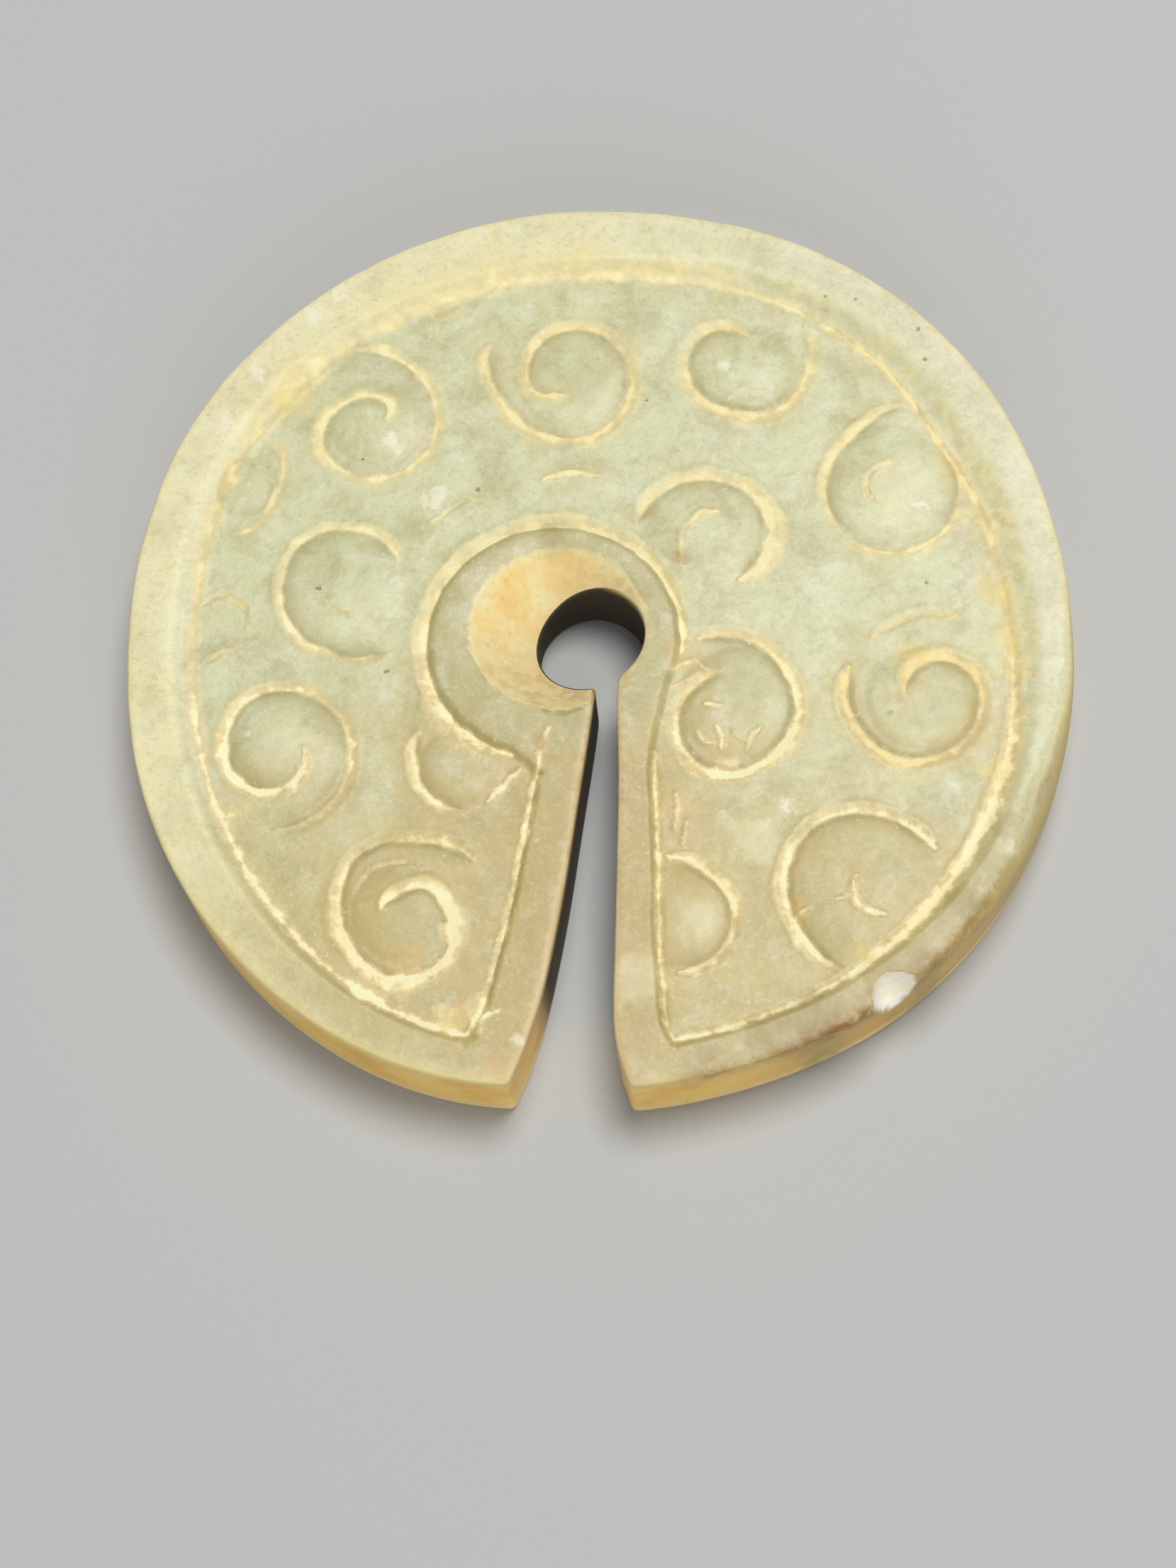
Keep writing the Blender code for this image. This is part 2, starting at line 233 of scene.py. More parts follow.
arris = arris * np.clip(1 + nicks, 0.6, 1.6)

# ------------------------------
# The field was ground down between the border, the collar and the slit's two bands. A line cut with a
# slanting point runs along its edge, steep on one side. At the top its other side is wide and shallow.
FIELD_DEPTH = 0.30
# The border's width, and how wide the slope down from it is, one value every 30 degrees from +X.
BORDER_WIDTHS = [2.65, 2.9, 3.0, 3.4, 3.05, 2.75, 2.7, 2.65, 2.05, 1.75, 1.75, 2.1]
BORDER_JOG = (31, 6, 0.3)
BORDER_SLOPES = [1.6, 1.7, 1.4, 1.1, 1.1, 1.3, 1.3, 0.9, 0.5, 0.45, 0.45, 0.9]
BAND_SLOPE = 0.25
RIGHT_BAND_SLOPE = 0.3
LINE_DEPTH = 0.15
LINE_LEFT = [
    (-2.45, -6.6), (-2.85, -9), (-3.2, -11), (-3.6, -13), (-4.1, -15), (-4.5, -16.5), (-5.0, -17.45),
]
LINE_RIGHT = [
    (2.9, -3.4), (2.4, -5.9), (2.42, -8.3), (2.5, -11), (2.47, -13), (2.6, -15.5), (2.75, -17.2),
    (3.15, -18.1),
]
LINE_GAP = 0.12
TAPER = 0.8
# How long a stretch of the deposit is, and how far its width and its load vary from stretch to stretch.
STRETCH = 0.9
SPREADS = (0.7, 1.3)
LOADS = (0.8, 1.12)


def round_about(directions, values):
    """The values, one every 30 degrees from +X, joined smoothly and read in the directions."""
    values = np.array(list(values) * 3)
    places = (np.asarray(directions, float) % 360) / 30 + 12
    index = places.astype(int)
    share = places - index
    return between(*(values[index + step] for step in (-1, 0, 1, 2)), share)


def border_width(directions):
    jog_middle, jog_spread, jog_extra = BORDER_JOG
    return round_about(directions, BORDER_WIDTHS) + jog_extra * bump(directions, jog_middle, jog_spread)


line_left = smooth_line(LINE_LEFT, LINE_GAP)
line_right = smooth_line(LINE_RIGHT, LINE_GAP)
border_first, border_last = direction_of(line_right[-1:])[0], direction_of(line_left[-1:])[0] + 360
border_directions = np.arange(border_first, border_last, DIRECTION_STEP)
border_distances = rim_radius(border_directions) - border_width(border_directions)
border_line = evenly(polar((0, 0), border_directions, border_distances), LINE_GAP)
line_right = line_right[distance_of(line_right) < distance_of(border_line[:1]) - LINE_GAP]
line_left = line_left[distance_of(line_left) < distance_of(border_line[-1:]) - LINE_GAP]
collar_directions = np.arange(COLLAR_ENDS[0], COLLAR_ENDS[1], 1.2)
collar_line = polar(COLLAR_CENTRE, collar_directions, COLLAR_RADIUS)

# Each cut line keeps, at each of its points: which way is left, how far the cut reaches on the left and on
# the right, how deep it is, how far the cream deposit reaches and the painted dark shade spreads on each
# side, how thickly the deposit lies, and how orange it is.
cut_lines = {"border": [], "curls": [], "marks": []}


def cut_line(group, line, cut, depth, cream, amount, warmth, painted_shade):
    """Notes one line. The cut, the cream and the painted shade are each a pair, for the left side and the
    right.
    """
    ends = np.minimum(np.arange(len(line)), np.arange(len(line))[::-1]) * LINE_GAP
    taper = np.clip((ends + LINE_GAP) / TAPER, 0, 1) ** 0.7
    # The deposit lies thick in some stretches of a line and is nearly gone from others.
    along = np.arange(len(line)) * LINE_GAP
    stretches = np.arange(0, along[-1] + 2, STRETCH)
    swell = np.interp(along, stretches, chance.uniform(*SPREADS, len(stretches)))
    amount = amount * np.interp(along, stretches + 0.4, chance.uniform(*LOADS, len(stretches)))
    cream = [side * swell for side in cream]
    columns = [column * taper for column in (*cut, depth, *cream, *painted_shade)] + [amount, warmth]
    columns = [np.broadcast_to(column, len(line)).astype(float) for column in columns]
    cut_lines[group].append((line, leftwards(line), np.column_stack(columns)))


border_at = direction_of(border_line)
# Round the border, one value every 30 degrees from +X: how deep the line is, how far the cream reaches on
# its inner and outer sides, how thickly it lies, how orange it is, and how far the painted shade spreads.
DEPTHS = [0.5, 0.6, 0.6, 0.25, 0.25, 0.3, 0.35, 0.6, 0.9, 1.0, 1.0, 1.0]
CREAM_INSIDE = [0.10, 0.12, 0.12, 0.14, 0.18, 0.25, 0.20, 0.16, 0.15, 0.14, 0.18, 0.30]
CREAM_OUTSIDE = [0.30, 0.18, 0.16, 1.10, 1.10, 0.55, 0.24, 0.14, 0.12, 0.12, 0.20, 0.40]
AMOUNTS = [0.60, 0.85, 0.90, 0.78, 0.78, 0.78, 0.80, 1.00, 1.10, 1.15, 1.10, 1.25]
WARMTHS = [0.6, 0.45, 0.1, 0.2, 0.1, 0.25, 0.15, 0.05, 0.0, 0.05, 0.15, 0.3]
# How far dark olive shade is painted in on the inner and the outer side of the line.
PAINTED_SHADE_INSIDE = [0.2, 0.1, 0.2, 0.3, 0.2, 0.1, 0.1, 0.1, 0.2, 0.2, 0.2, 0.2]
PAINTED_SHADE_OUTSIDE = [0.3, 0.2, 0.2, 0.1, 0.1, 0.1, 0.1, 0.3, 0.6, 0.8, 0.7, 0.9]
columns = (DEPTHS, CREAM_INSIDE, CREAM_OUTSIDE, AMOUNTS, WARMTHS, PAINTED_SHADE_INSIDE, PAINTED_SHADE_OUTSIDE)
depth, cream_in, cream_out, amount, warmth, painted_shade_in, painted_shade_out = (
    round_about(border_at, column) for column in columns
)
cut_line(
    "border", border_line, (0.25, cream_out), LINE_DEPTH * depth, (cream_in, cream_out), amount, warmth,
    (painted_shade_in, painted_shade_out),
)
cut_line("border", line_left, (0.16, 0.16), 0.8 * LINE_DEPTH, (0.10, 0.10), 0.95, 0.2, (0.3, 0.15))
cut_line("border", line_right[20:], (0.24, 0.10), LINE_DEPTH, (0.12, 0.07), 0.9, 0.2, (0.2, 0.6))
collar_at = direction_of(collar_line, COLLAR_CENTRE)
collar_thin = bump(collar_at, 0, 28)
collar_cream = 0.42 * (1 - 0.6 * collar_thin) * (1 + 0.9 * bump(collar_at, 222, 12))
cut_line(
    "border", collar_line, (0.20, 0.5 * (1 - 0.5 * collar_thin)), 1.3 * LINE_DEPTH,
    (0.03, collar_cream), 1.1, 0.15, (0.6, 0.2),
)

# ------------------------------
# The curls were cut with the same slanting point: each line winds round a boss, steep on the boss's
# side, and the boss was then rounded over into a low dome.
ANTICLOCKWISE, CLOCKWISE = 1, -1
# The boss's middle, the direction where the line starts, which way it turns, its width, how orange the
# deposit is, the line's distance from the middle at every eighth of a turn, and how heavy the deposit is
# from the line's start to its end.
CURLS = {
    "top_left": (
        (-9.4, 9.9), 104, CLOCKWISE, 0.50, 0.15, [3.6, 2.9, 2.6, 2.6, 2.7, 2.7, 2.5, 1.7, 1.25, 0.9, 0.45],
        [0.8, 1.2, 0.7, 0.9, 0.9, 1.1, 1.1, 1.2],
    ),
    "top": (
        (-1.0, 11.8), 155, ANTICLOCKWISE, 0.55, 0.4,
        [4.0, 3.2, 3.0, 2.9, 2.6, 2.5, 2.5, 2.4, 2.1, 1.8, 1.0],
        [0.9, 1.0, 1.0, 0.9, 0.8, 0.8, 1.0, 1.1],
    ),
    "top_right": (
        (6.3, 12.0), 36, CLOCKWISE, 0.62, 0.25, [3.4, 2.7, 2.5, 2.1, 2.2, 2.4, 2.4, 1.6],
        [0.5, 0.7, 0.9, 0.9, 0.8, 0.8, 0.8],
    ),
    "upper_right": (
        (12.5, 6.3), 79, ANTICLOCKWISE, 0.40, 0.2, [3.8, 2.8, 2.8, 3.0, 3.2, 3.1, 2.9, 2.7],
        [0.4, 1.2, 1.0, 0.7, 0.9, 1.2, 0.5, 0.3],
    ),
    "beside_collar": (
        (4.6, 4.2), 168, CLOCKWISE, 0.60, 0.2, [2.9, 2.7, 2.6, 2.7, 2.7, 2.6],
        [0.7, 0.9, 1.0, 1.2, 1.4, 1.3],
    ),
    "right_middle": (
        (5.8, -3.6), 117, CLOCKWISE, 0.55, 0.3, [3.3, 2.8, 2.4, 2.5, 2.7, 3.2, 2.8, 2.0, 1.5],
        [0.9, 0.9, 1.2, 1.3, 1.3, 1.2, 1.0, 0.8, 0.6],
    ),
    "far_right": (
        (13.3, -3.6), 154, ANTICLOCKWISE, 0.55, 0.9, [3.2, 2.9, 2.8, 2.6, 2.5, 2.5, 2.0, 1.2, 0.7],
        [1.1, 1.0, 1.2, 1.2, 0.7, 0.7, 1.0, 1.2, 1.2],
    ),
    "lower_right": (
        (10.7, -11.8), 31, ANTICLOCKWISE, 0.48, 0.1, [3.3, 3.3, 3.4, 3.2, 3.1, 3.5],
        [1.2, 1.0, 1.0, 1.1, 1.4, 0.5],
    ),
    "by_the_slit": (
        (3.2, -12.8), 95, CLOCKWISE, 0.45, 0.3, [2.5, 2.2, 2.3, 2.3, 2.3], [1.1, 1.1, 1.2, 0.8, 1.0],
    ),
    "left_middle": (
        (-10.6, 1.9), 34, ANTICLOCKWISE, 0.40, 0.1, [2.7, 2.9, 3.0, 2.7, 2.7, 2.9, 3.5],
        [1.1, 1.0, 0.8, 1.0, 1.2, 0.8, 0.5],
    ),
    "lower_left": (
        (-12.7, -5.2), 264, ANTICLOCKWISE, 0.48, 0.1,
        [3.6, 3.1, 2.6, 2.5, 2.6, 2.8, 2.6, 2.4, 1.8, 1.0, 0.7],
        [0.5, 0.6, 0.8, 0.8, 0.7, 0.8, 1.3, 1.4, 1.2, 1.0],
    ),
    "bottom_left": (
        (-7.8, -12.4), 37, ANTICLOCKWISE, 0.50, 0.3,
        [3.6, 3.1, 3.1, 2.6, 2.5, 2.8, 2.7, 1.9, 1.5, 0.9, 0.7, 0.8],
        [0.9, 1.0, 0.6, 0.9, 1.3, 1.5, 1.2, 1.5, 1.6, 1.3, 0.9],
    ),
    "below_collar": (
        (-5.5, -6.2), 140, ANTICLOCKWISE, 0.45, 0.1, [2.3, 1.85, 1.8, 1.9], [0.7, 1.0, 1.3, 1.4, 0.3],
    ),
    "left_oval": (
        (-14.9, 6.9), 78, CLOCKWISE, 0.50, 0.25, [2.4, 1.75, 1.25, 1.5, 2.2], [0.5, 0.6, 0.7, 0.7, 0.5],
    ),
}
EIGHTH = 45
CURL_STEP = 0.05
BOSS_HEIGHT = 0.20
BOSS_SHARE = 0.95
# Short shallow lines: the points, the width, and how thickly the deposit lies.
MARKS = [
    ([(12.4, 7.3), (11.6, 6.6), (11.5, 5.8), (12.1, 5.15)], 0.30, 0.6),
    ([(5.1, 5.1), (4.4, 5.0), (3.75, 4.3), (3.5, 3.3)], 0.25, 1.0),
    ([(10.3, -11.5), (10.35, -12.2), (10.8, -12.7), (11.4, -12.9)], 0.30, 1.0),
    ([(0.1, 7.0), (-0.6, 7.15), (-1.4, 7.15), (-2.1, 6.95)], 0.22, 1.0),
    ([(-4.4, -7.7), (-3.8, -7.1), (-3.15, -6.4)], 0.25, 1.0),
    ([(-1.95, -4.7), (-2.2, -5.5), (-2.45, -6.7)], 0.25, 1.0),
    ([(-6.9, 5.1), (-6.4, 5.4), (-5.8, 5.8), (-5.0, 6.05)], 0.20, 0.6),
    ([(-11.4, 1.3), (-10.8, 0.9), (-10.2, 0.65)], 0.20, 0.5),
    ([(14.9, 0.1), (13.8, 0.2), (12.6, -0.1), (11.5, -0.7)], 0.60, 0.7),
    ([(-14.7, 0.3), (-14.8, 1.2), (-15.7, 1.8), (-16.7, 1.25)], 0.40, 0.5),
    ([(-16.6, -1.45), (-16.0, -1.05), (-15.4, -0.7)], 0.35, 0.6),
    ([(3.2, -2.1), (3.6, -1.8), (4.15, -1.75), (4.5, -2.1)], 0.22, 0.9),
    ([(4.2, -5.0), (4.5, -5.35), (4.7, -5.4)], 0.20, 0.8),
    ([(5.0, -4.75), (5.15, -5.1), (5.1, -5.5)], 0.18, 0.9),
    ([(5.6, -4.9), (5.9, -5.2)], 0.18, 0.8),
    ([(6.7, -4.8), (6.35, -5.2), (6.2, -5.6)], 0.20, 0.8),
    ([(3.3, -2.75), (3.9, -2.5), (4.3, -2.75)], 0.18, 0.7),
    ([(4.55, -3.7), (5.1, -3.8)], 0.25, 1.0),
    ([(3.25, -7.6), (3.35, -8.3), (3.15, -9.0)], 0.18, 0.8),
    ([(3.7, -8.9), (3.5, -9.6)], 0.16, 0.8),
    ([(10.35, -11.4), (10.3, -12.0), (9.7, -12.2)], 0.20, 0.8),
    ([(-9.8, -11.6), (-9.0, -10.6), (-7.9, -10.3), (-7.0, -10.5)], 0.20, 0.5),
    ([(-5.0, -17.5), (-4.4, -16.9), (-3.9, -16.7)], 0.22, 1.0),
    ([(7.9, -13.0), (8.4, -12.6)], 0.18, 0.9),
    ([(-2.5, -2.95), (-2.15, -3.8), (-1.5, -3.95), (-0.45, -3.85)], 0.12, 0.0),
]


def along_curve(values, places):
    values = np.array([values[0]] + list(values) + [values[-1]] * 2)
    index = np.minimum(places.astype(int), len(values) - 4)
    share = places - index
    return between(*(values[index + step] for step in range(4)), share)


bosses = []
for centre, start, turn, width, warmth, radii, loads in CURLS.values():
    places = np.arange(0, len(radii) - 1 + 1e-6, CURL_STEP)
    line = polar(centre, start + turn * places * EIGHTH, along_curve(radii, places))
    line = evenly(line, LINE_GAP)
    # The boss's side comes first, and it is on the left of a line that turns anticlockwise.
    # Most of the painted shade lies on the boss's steep side, where shade falls into the cut.
    cut, cream, painted_shade = (0.60 * width, 0.75 * width), (0.05, 0.60 * width), (0.9, 0.12)
    depth = LINE_DEPTH * width / 0.45 * np.interp(line[:, 1], [-8, 6], [1.0, 0.6])
    load = np.interp(np.linspace(0, 1, len(line)), np.linspace(0, 1, len(loads)), loads)
    cream = [side * (0.5 + 0.5 * load) for side in cream]
    cut_line("curls", line, cut[::turn], depth, cream[::turn], load, warmth, painted_shade[::turn])
    inner = radii[1:-1]
    bosses.append((*centre, BOSS_SHARE * sum(inner) / len(inner)))
for points, width, amount in MARKS:
    line = smooth_line(points, LINE_GAP)
    cut, cream = (0.4 * width, 0.6 * width), (0.3 * width, 0.45 * width)
    cut_line("marks", line, cut, 0.6 * LINE_DEPTH, cream, amount, 0.1, (0.2, 0.2))

# ------------------------------
# The shaping, as rules. Each tree below does one of the carver's jobs on the plain blank: it looks up
# the nearest point of a guide, and lowers or raises the stone by how far it lies from that point.


class Value:
    """A value in a node tree. Sums with it become nodes, vector nodes where it is a vector or a colour."""

    def __init__(self, socket):
        self.socket = socket
        self.tree = socket.id_data
        self.vector = socket.type in ("VECTOR", "RGBA")

    def sum(self, operation, *inputs):
        kind = "ShaderNodeVectorMath" if self.vector else "ShaderNodeMath"
        return node(self.tree, kind, *inputs, operation=operation)

    def __add__(self, other):
        return self.sum("ADD", self, other)

    def __sub__(self, other):
        return self.sum("SUBTRACT", self, other)

    def __rsub__(self, other):
        return self.sum("SUBTRACT", other, self)

    def __mul__(self, other):
        scaled = self.vector and not isinstance(other, tuple)
        return self.sum("SCALE" if scaled else "MULTIPLY", self, other)

    def __truediv__(self, other):
        return self.sum("DIVIDE", self, other)

    def __pow__(self, other):
        return self.sum("POWER", self, other)

    def __gt__(self, other):
        return self.sum("GREATER_THAN", self, other)

    def __abs__(self):
        return self.sum("ABSOLUTE", self)


def fill(socket, value):
    """Links the value to the socket, or sets a plain number, colour or name there."""
    if isinstance(value, Value):
        value.tree.links.new(value.socket, socket)
    elif value is not None:
        socket.default_value = value


def node(tree, kind, *inputs, out=0, **settings):
    """A new node with its inputs filled in order, None for one left alone. It returns one output."""
    made = tree.nodes.new(kind)
    for name, value in settings.items():
        setattr(made, name, value)
    for socket, value in zip([socket for socket in made.inputs if socket.enabled], inputs):
        fill(socket, value)
    return Value([socket for socket in made.outputs if socket.enabled][out])


def by_name(sockets):
    return {socket.name: Value(socket) for socket in sockets if socket.name}


def most(value, other):
    return value.sum("MAXIMUM", value, other)


def least(value, other):
    return value.sum("MINIMUM", value, other)


def length(value):
    return value.sum("LENGTH", value)


def dot(value, other):
    return value.sum("DOT_PRODUCT", value, other)


def part(value, axis):
    return node(value.tree, "ShaderNodeSeparateXYZ", value, out=axis)


def clamped(value):
    """The sum, kept between 0 and 1."""
    value.socket.node.use_clamp = True
    return value


def ramp(value, start, end, low_value=0.0, high_value=1.0):
    """The value's smooth rise from one level to another between start and end."""
    levels = (value, start, end, low_value, high_value)
    return node(value.tree, "ShaderNodeMapRange", *levels, interpolation_type="SMOOTHSTEP")


def new_tree(name, kind, inputs, outputs):
    """A node tree with named inputs and outputs."""
    tree = bpy.data.node_groups.new(name, kind)
    for way, sockets in (("INPUT", inputs), ("OUTPUT", outputs)):
        for socket_name, socket_kind in sockets:
            tree.interface.new_socket(socket_name, in_out=way, socket_type=socket_kind)
    return tree, by_name(tree.nodes.new("NodeGroupInput").outputs), tree.nodes.new("NodeGroupOutput").inputs


FLOAT, OBJECT, MATERIAL = "NodeSocketFloat", "NodeSocketObject", "NodeSocketMaterial"
GEOMETRY = ("Geometry", "NodeSocketGeometry")


def shaping_tree(name, *inputs):
    """A new geometry tree with the ring's mesh going in and coming out, and the named inputs."""
    inputs = [GEOMETRY, *inputs, ("Material", MATERIAL)]
    return new_tree(name, "GeometryNodeTree", inputs, [GEOMETRY])


def close_tree(geometry, material, put):
    geometry = node(geometry.tree, "GeometryNodeRealizeInstances", geometry)
    fill(put["Geometry"], node(geometry.tree, "GeometryNodeSetMaterial", geometry, True, material))


def guide_of(guide, at):
    """How to read the guide's nearest point: a function from an attribute's name and type to its value."""
    tree = at.tree
    geometry = node(tree, "GeometryNodeObjectInfo", guide, out=4)
    nearest = node(tree, "GeometryNodeSampleNearest", geometry, at, domain="POINT")

    def read(name, kind="FLOAT"):
        if name == "position":
            value = node(tree, "GeometryNodeInputPosition")
        else:
            value = node(tree, "GeometryNodeInputNamedAttribute", name, data_type=kind)
        inputs = (geometry, value, nearest)
        return node(tree, "GeometryNodeSampleIndex", *inputs, data_type=kind, domain="POINT")

    return read


def own(tree, name):
    return node(tree, "GeometryNodeInputNamedAttribute", name, data_type="FLOAT")


def keep(geometry, name, value):
    inputs = (geometry, True, name, value)
    return node(
        geometry.tree, "GeometryNodeStoreNamedAttribute", *inputs, data_type="FLOAT", domain="POINT",
    )


def keep_most(geometry, name, value):
    return keep(geometry, name, most(own(geometry.tree, name), value))


def lifted(geometry, height):
    """Moves the carved face up or down by the height, and leaves the rest of the blank alone."""
    tree = geometry.tree
    offset = node(tree, "ShaderNodeCombineXYZ", 0.0, 0.0, height)
    return node(tree, "GeometryNodeSetPosition", geometry, own(tree, "face"), None, offset)


FLAT = (1, 1, 0)

sinking, given, put = shaping_tree("sink the field", ("Outline", OBJECT), ("Depth", FLOAT))
at = node(sinking, "GeometryNodeInputPosition") * FLAT
read = guide_of(given["Outline"], at)
offset = at - read("position", "FLOAT_VECTOR")
inside = dot(offset, read("inwards", "FLOAT_VECTOR"))
share = inside / read("slope") + 1.0
sunk = ramp(share, 0.0, 1.0)
geometry = lifted(given["Geometry"], sunk * (given["Depth"] * -1.0))
geometry = keep(geometry, "field", sunk * own(sinking, "face"))
close_tree(geometry, given["Material"], put)

doming, given, put = shaping_tree(
    "round the bosses", ("Bosses", OBJECT), ("Floor", FLOAT), ("Height", FLOAT),
)
position = node(doming, "GeometryNodeInputPosition")
at = position * FLAT
read = guide_of(given["Bosses"], at)
away = length(at - read("position", "FLOAT_VECTOR"))
share = away / read("radius")
dome = clamped(1.0 - share ** 2.6)
level = dome * given["Height"] + given["Floor"]
gain = most(level - part(position, 2), 0.0)
close_tree(lifted(given["Geometry"], gain * (dome > 0.0)), given["Material"], put)

cutting, given, put = shaping_tree(
    "cut the lines", ("Lines", OBJECT), ("Unevenness", FLOAT), ("Seed", FLOAT), ("Fill", FLOAT),
    ("Halo", FLOAT), ("Top", FLOAT),
)
position = node(cutting, "GeometryNodeInputPosition")


def uneven(scale, out=0):
    inputs = (position * (1 / MM), given["Seed"], scale, 3.0, 0.6)
    return node(cutting, "ShaderNodeTexNoise", *inputs, out=out, noise_dimensions="4D")


wander = (uneven(1.1, out=1) - (0.5, 0.5, 0.5)) * given["Unevenness"]
at = (position + wander) * FLAT
read = guide_of(given["Lines"], at)
offset = at - read("position", "FLOAT_VECTOR")
leftward = read("leftward", "FLOAT_VECTOR")
across = dot(offset, leftward)
sideways = leftward * across
beyond = length(offset - sideways)
in_reach = ramp(beyond, 0.1 * MM, 0.22 * MM, 1.0, 0.0)
on_left = across > 0.0


def by_side(left_name, right_name):
    left, right = read(left_name), read(right_name)
    return (left - right) * on_left + right


distance = abs(across)
reach = most(by_side("left", "right"), 0.01 * MM)
share = clamped(1.0 - distance / reach)
cut = share * read("depth") * in_reach
# The deposit is thickest on the line and thins out past its usual reach, so that the soil's own
# raggedness decides where it ends.
cream_reach = by_side("cream_left", "cream_right") * 1.5 + 0.09 * MM
lying = clamped(1.0 - distance / cream_reach)
lying = lying * in_reach * read("amount")
filled = lying * uneven(2.5) * given["Fill"]
room = given["Top"] - part(position, 2)
geometry = lifted(given["Geometry"], least(filled - cut, room))
geometry = keep_most(geometry, "deposit", lying)
# Dark olive shade is painted along the cut's steep side, out to this reach.
painted_shade_reach = most(by_side("stain_left", "stain_right"), 0.01 * MM)
painted_shade = clamped(1.0 - distance / painted_shade_reach)
geometry = keep_most(geometry, "painted_shade", painted_shade * in_reach)
near = clamped(1.0 - length(offset) / given["Halo"])
geometry = keep_most(geometry, "near", near)
geometry = keep_most(geometry, "halo", near * read("warmth"))
close_tree(geometry, given["Material"], put)

# ------------------------------
# The stone is nephrite, pale green clouded with white and buff, browner by the slit, polished and dulled
# by burial. Cream soil is caked in the lines and the walls are tan. Painted in as well are dark olive shade
# beside the lines, highlights on some edges and bosses, and shadow inside the hole and the slit.


def tint(colour):
    """A colour given as it looks, from 0 to 255, as the linear values that shaders take."""
    shares = [value / 255 for value in colour]
    return *(share / 12.92 if share <= 0.04045 else ((share + 0.055) / 1.055) ** 2.4 for share in shares), 1


def mix(share, *colours):
    """The first colour under a share of the second. Each is a value or a tint."""
    colours = [tint(colour) if isinstance(colour, tuple) else colour for colour in colours]
    return node(share.tree, "ShaderNodeMix", share, *colours, data_type="RGBA")


def noise(at, scale, detail=4.0, roughness=0.55, distortion=0.0, out=0):
    """Noise about as coarse as one over the scale, in millimetres."""
    inputs = (at, scale, detail, roughness, None, distortion)
    return node(at.tree, "ShaderNodeTexNoise", *inputs, out=out)


def effect(name, inputs, outputs):
    return new_tree(name, "ShaderNodeTree", inputs, outputs)


def place(group, **values):
    """Puts an effect into the tree that its place comes from, with its inputs set."""
    made = values["At"].tree.nodes.new("ShaderNodeGroup")
    made.node_tree = group
    for name, value in values.items():
        fill(made.inputs[name], value)
    return by_name(made.outputs)


COLOUR, VECTOR = "NodeSocketColor", "NodeSocketVector"

# Where a patch lies: 1 inside it, and a ragged edge out to 0.
patch_group, given, put = effect(
    "ragged patch",
    [("At", VECTOR), ("Wander", VECTOR), ("Centre", VECTOR), ("Size", FLOAT), ("Ragged", FLOAT)],
    [("Mask", FLOAT)],
)
shaken = given["At"] + given["Wander"] * given["Ragged"]
offset = (shaken - given["Centre"]) * FLAT
share = length(offset) / given["Size"]
fill(put["Mask"], ramp(share, 0.4, 1.3, 1.0, 0.0))

SLIT_MIDDLE = -0.8
stone_group, given, put = effect(
    "clouded nephrite",
    [("At", VECTOR), ("Field", FLOAT), ("Collar", FLOAT), ("Rim", FLOAT)],
    [("Colour", COLOUR), ("Bleached", FLOAT)],
)
at = given["At"]
cloud = noise(at, 0.17, 5, 0.62, 0.8)
mottle = noise(at, 0.7, 6, 0.72, 0.3)
grain = noise(at, 2.4, 5, 0.7)
x, y = part(at, 0), part(at, 1)
from_slit = abs(x - SLIT_MIDDLE)
drift = (cloud - 0.5) * 16.0 + y
drift = from_slit * 0.5 + drift
# Green and clear at the top, buff towards the slit, and brown right beside it.
stone = mix(ramp(drift, -8.0, 6.0), (198, 183, 121), (210, 212, 168))
beside_slit = ramp(from_slit, 1.5, 6.5, 1.0, 0.0)
beside_slit = beside_slit * ramp(y, -8.0, -1.0, 1.0, 0.0)
stone = mix(beside_slit * 0.9, stone, (186, 163, 97))
stone = mix(given["Collar"] * 0.75, stone, (186, 176, 122))
# The border is yellower at the left and the top, where the rim is bleached, and greyer at the right.
on_border = clamped(1.0 - given["Field"] - given["Collar"])
to_left = y * 0.62 - x
bleached = ramp(to_left, -2.0, 15.0) * on_border
stone = mix(bleached * 0.95, stone, (238, 232, 182))
whitened = given["Rim"] * ramp(mottle, 0.3, 0.55, 0.35, 1.0)
whitened = whitened * ramp(y, -12.0, 4.0, 0.2, 0.85)
whitened = whitened * (1.0 - bleached * 0.6)
stone = mix(whitened, stone, (232, 226, 200))
# White clouds, dark olive veins and a fine grain run through all of it.
calm = 1.0 - on_border * 0.5
milky = ramp(mottle, 0.46, 0.7, 0.0, 0.65) * (calm * ramp(drift, -8.0, 4.0, 0.6, 1.0))
stone = mix(milky, stone, (224, 227, 202))
veined = ramp(noise(at, 0.5, 5, 0.7, 0.4), 0.3, 0.58, 0.55, 0.0)
stone = mix(veined * calm, stone, (170, 160, 104))
stone = mix(ramp(grain, 0.3, 0.5, 0.25, 0.0), stone, (166, 156, 104))
stone = mix(ramp(grain, 0.55, 0.78, 0.0, 0.22), stone, (232, 230, 200))
fine = noise(at, 6.0, 3, 0.6)
stone = mix(ramp(fine, 0.3, 0.48, 0.22, 0.0), stone, (168, 158, 108))
stone = mix(ramp(fine, 0.52, 0.72, 0.0, 0.2), stone, (240, 238, 206))
fill(put["Colour"], stone)
fill(put["Bleached"], bleached)

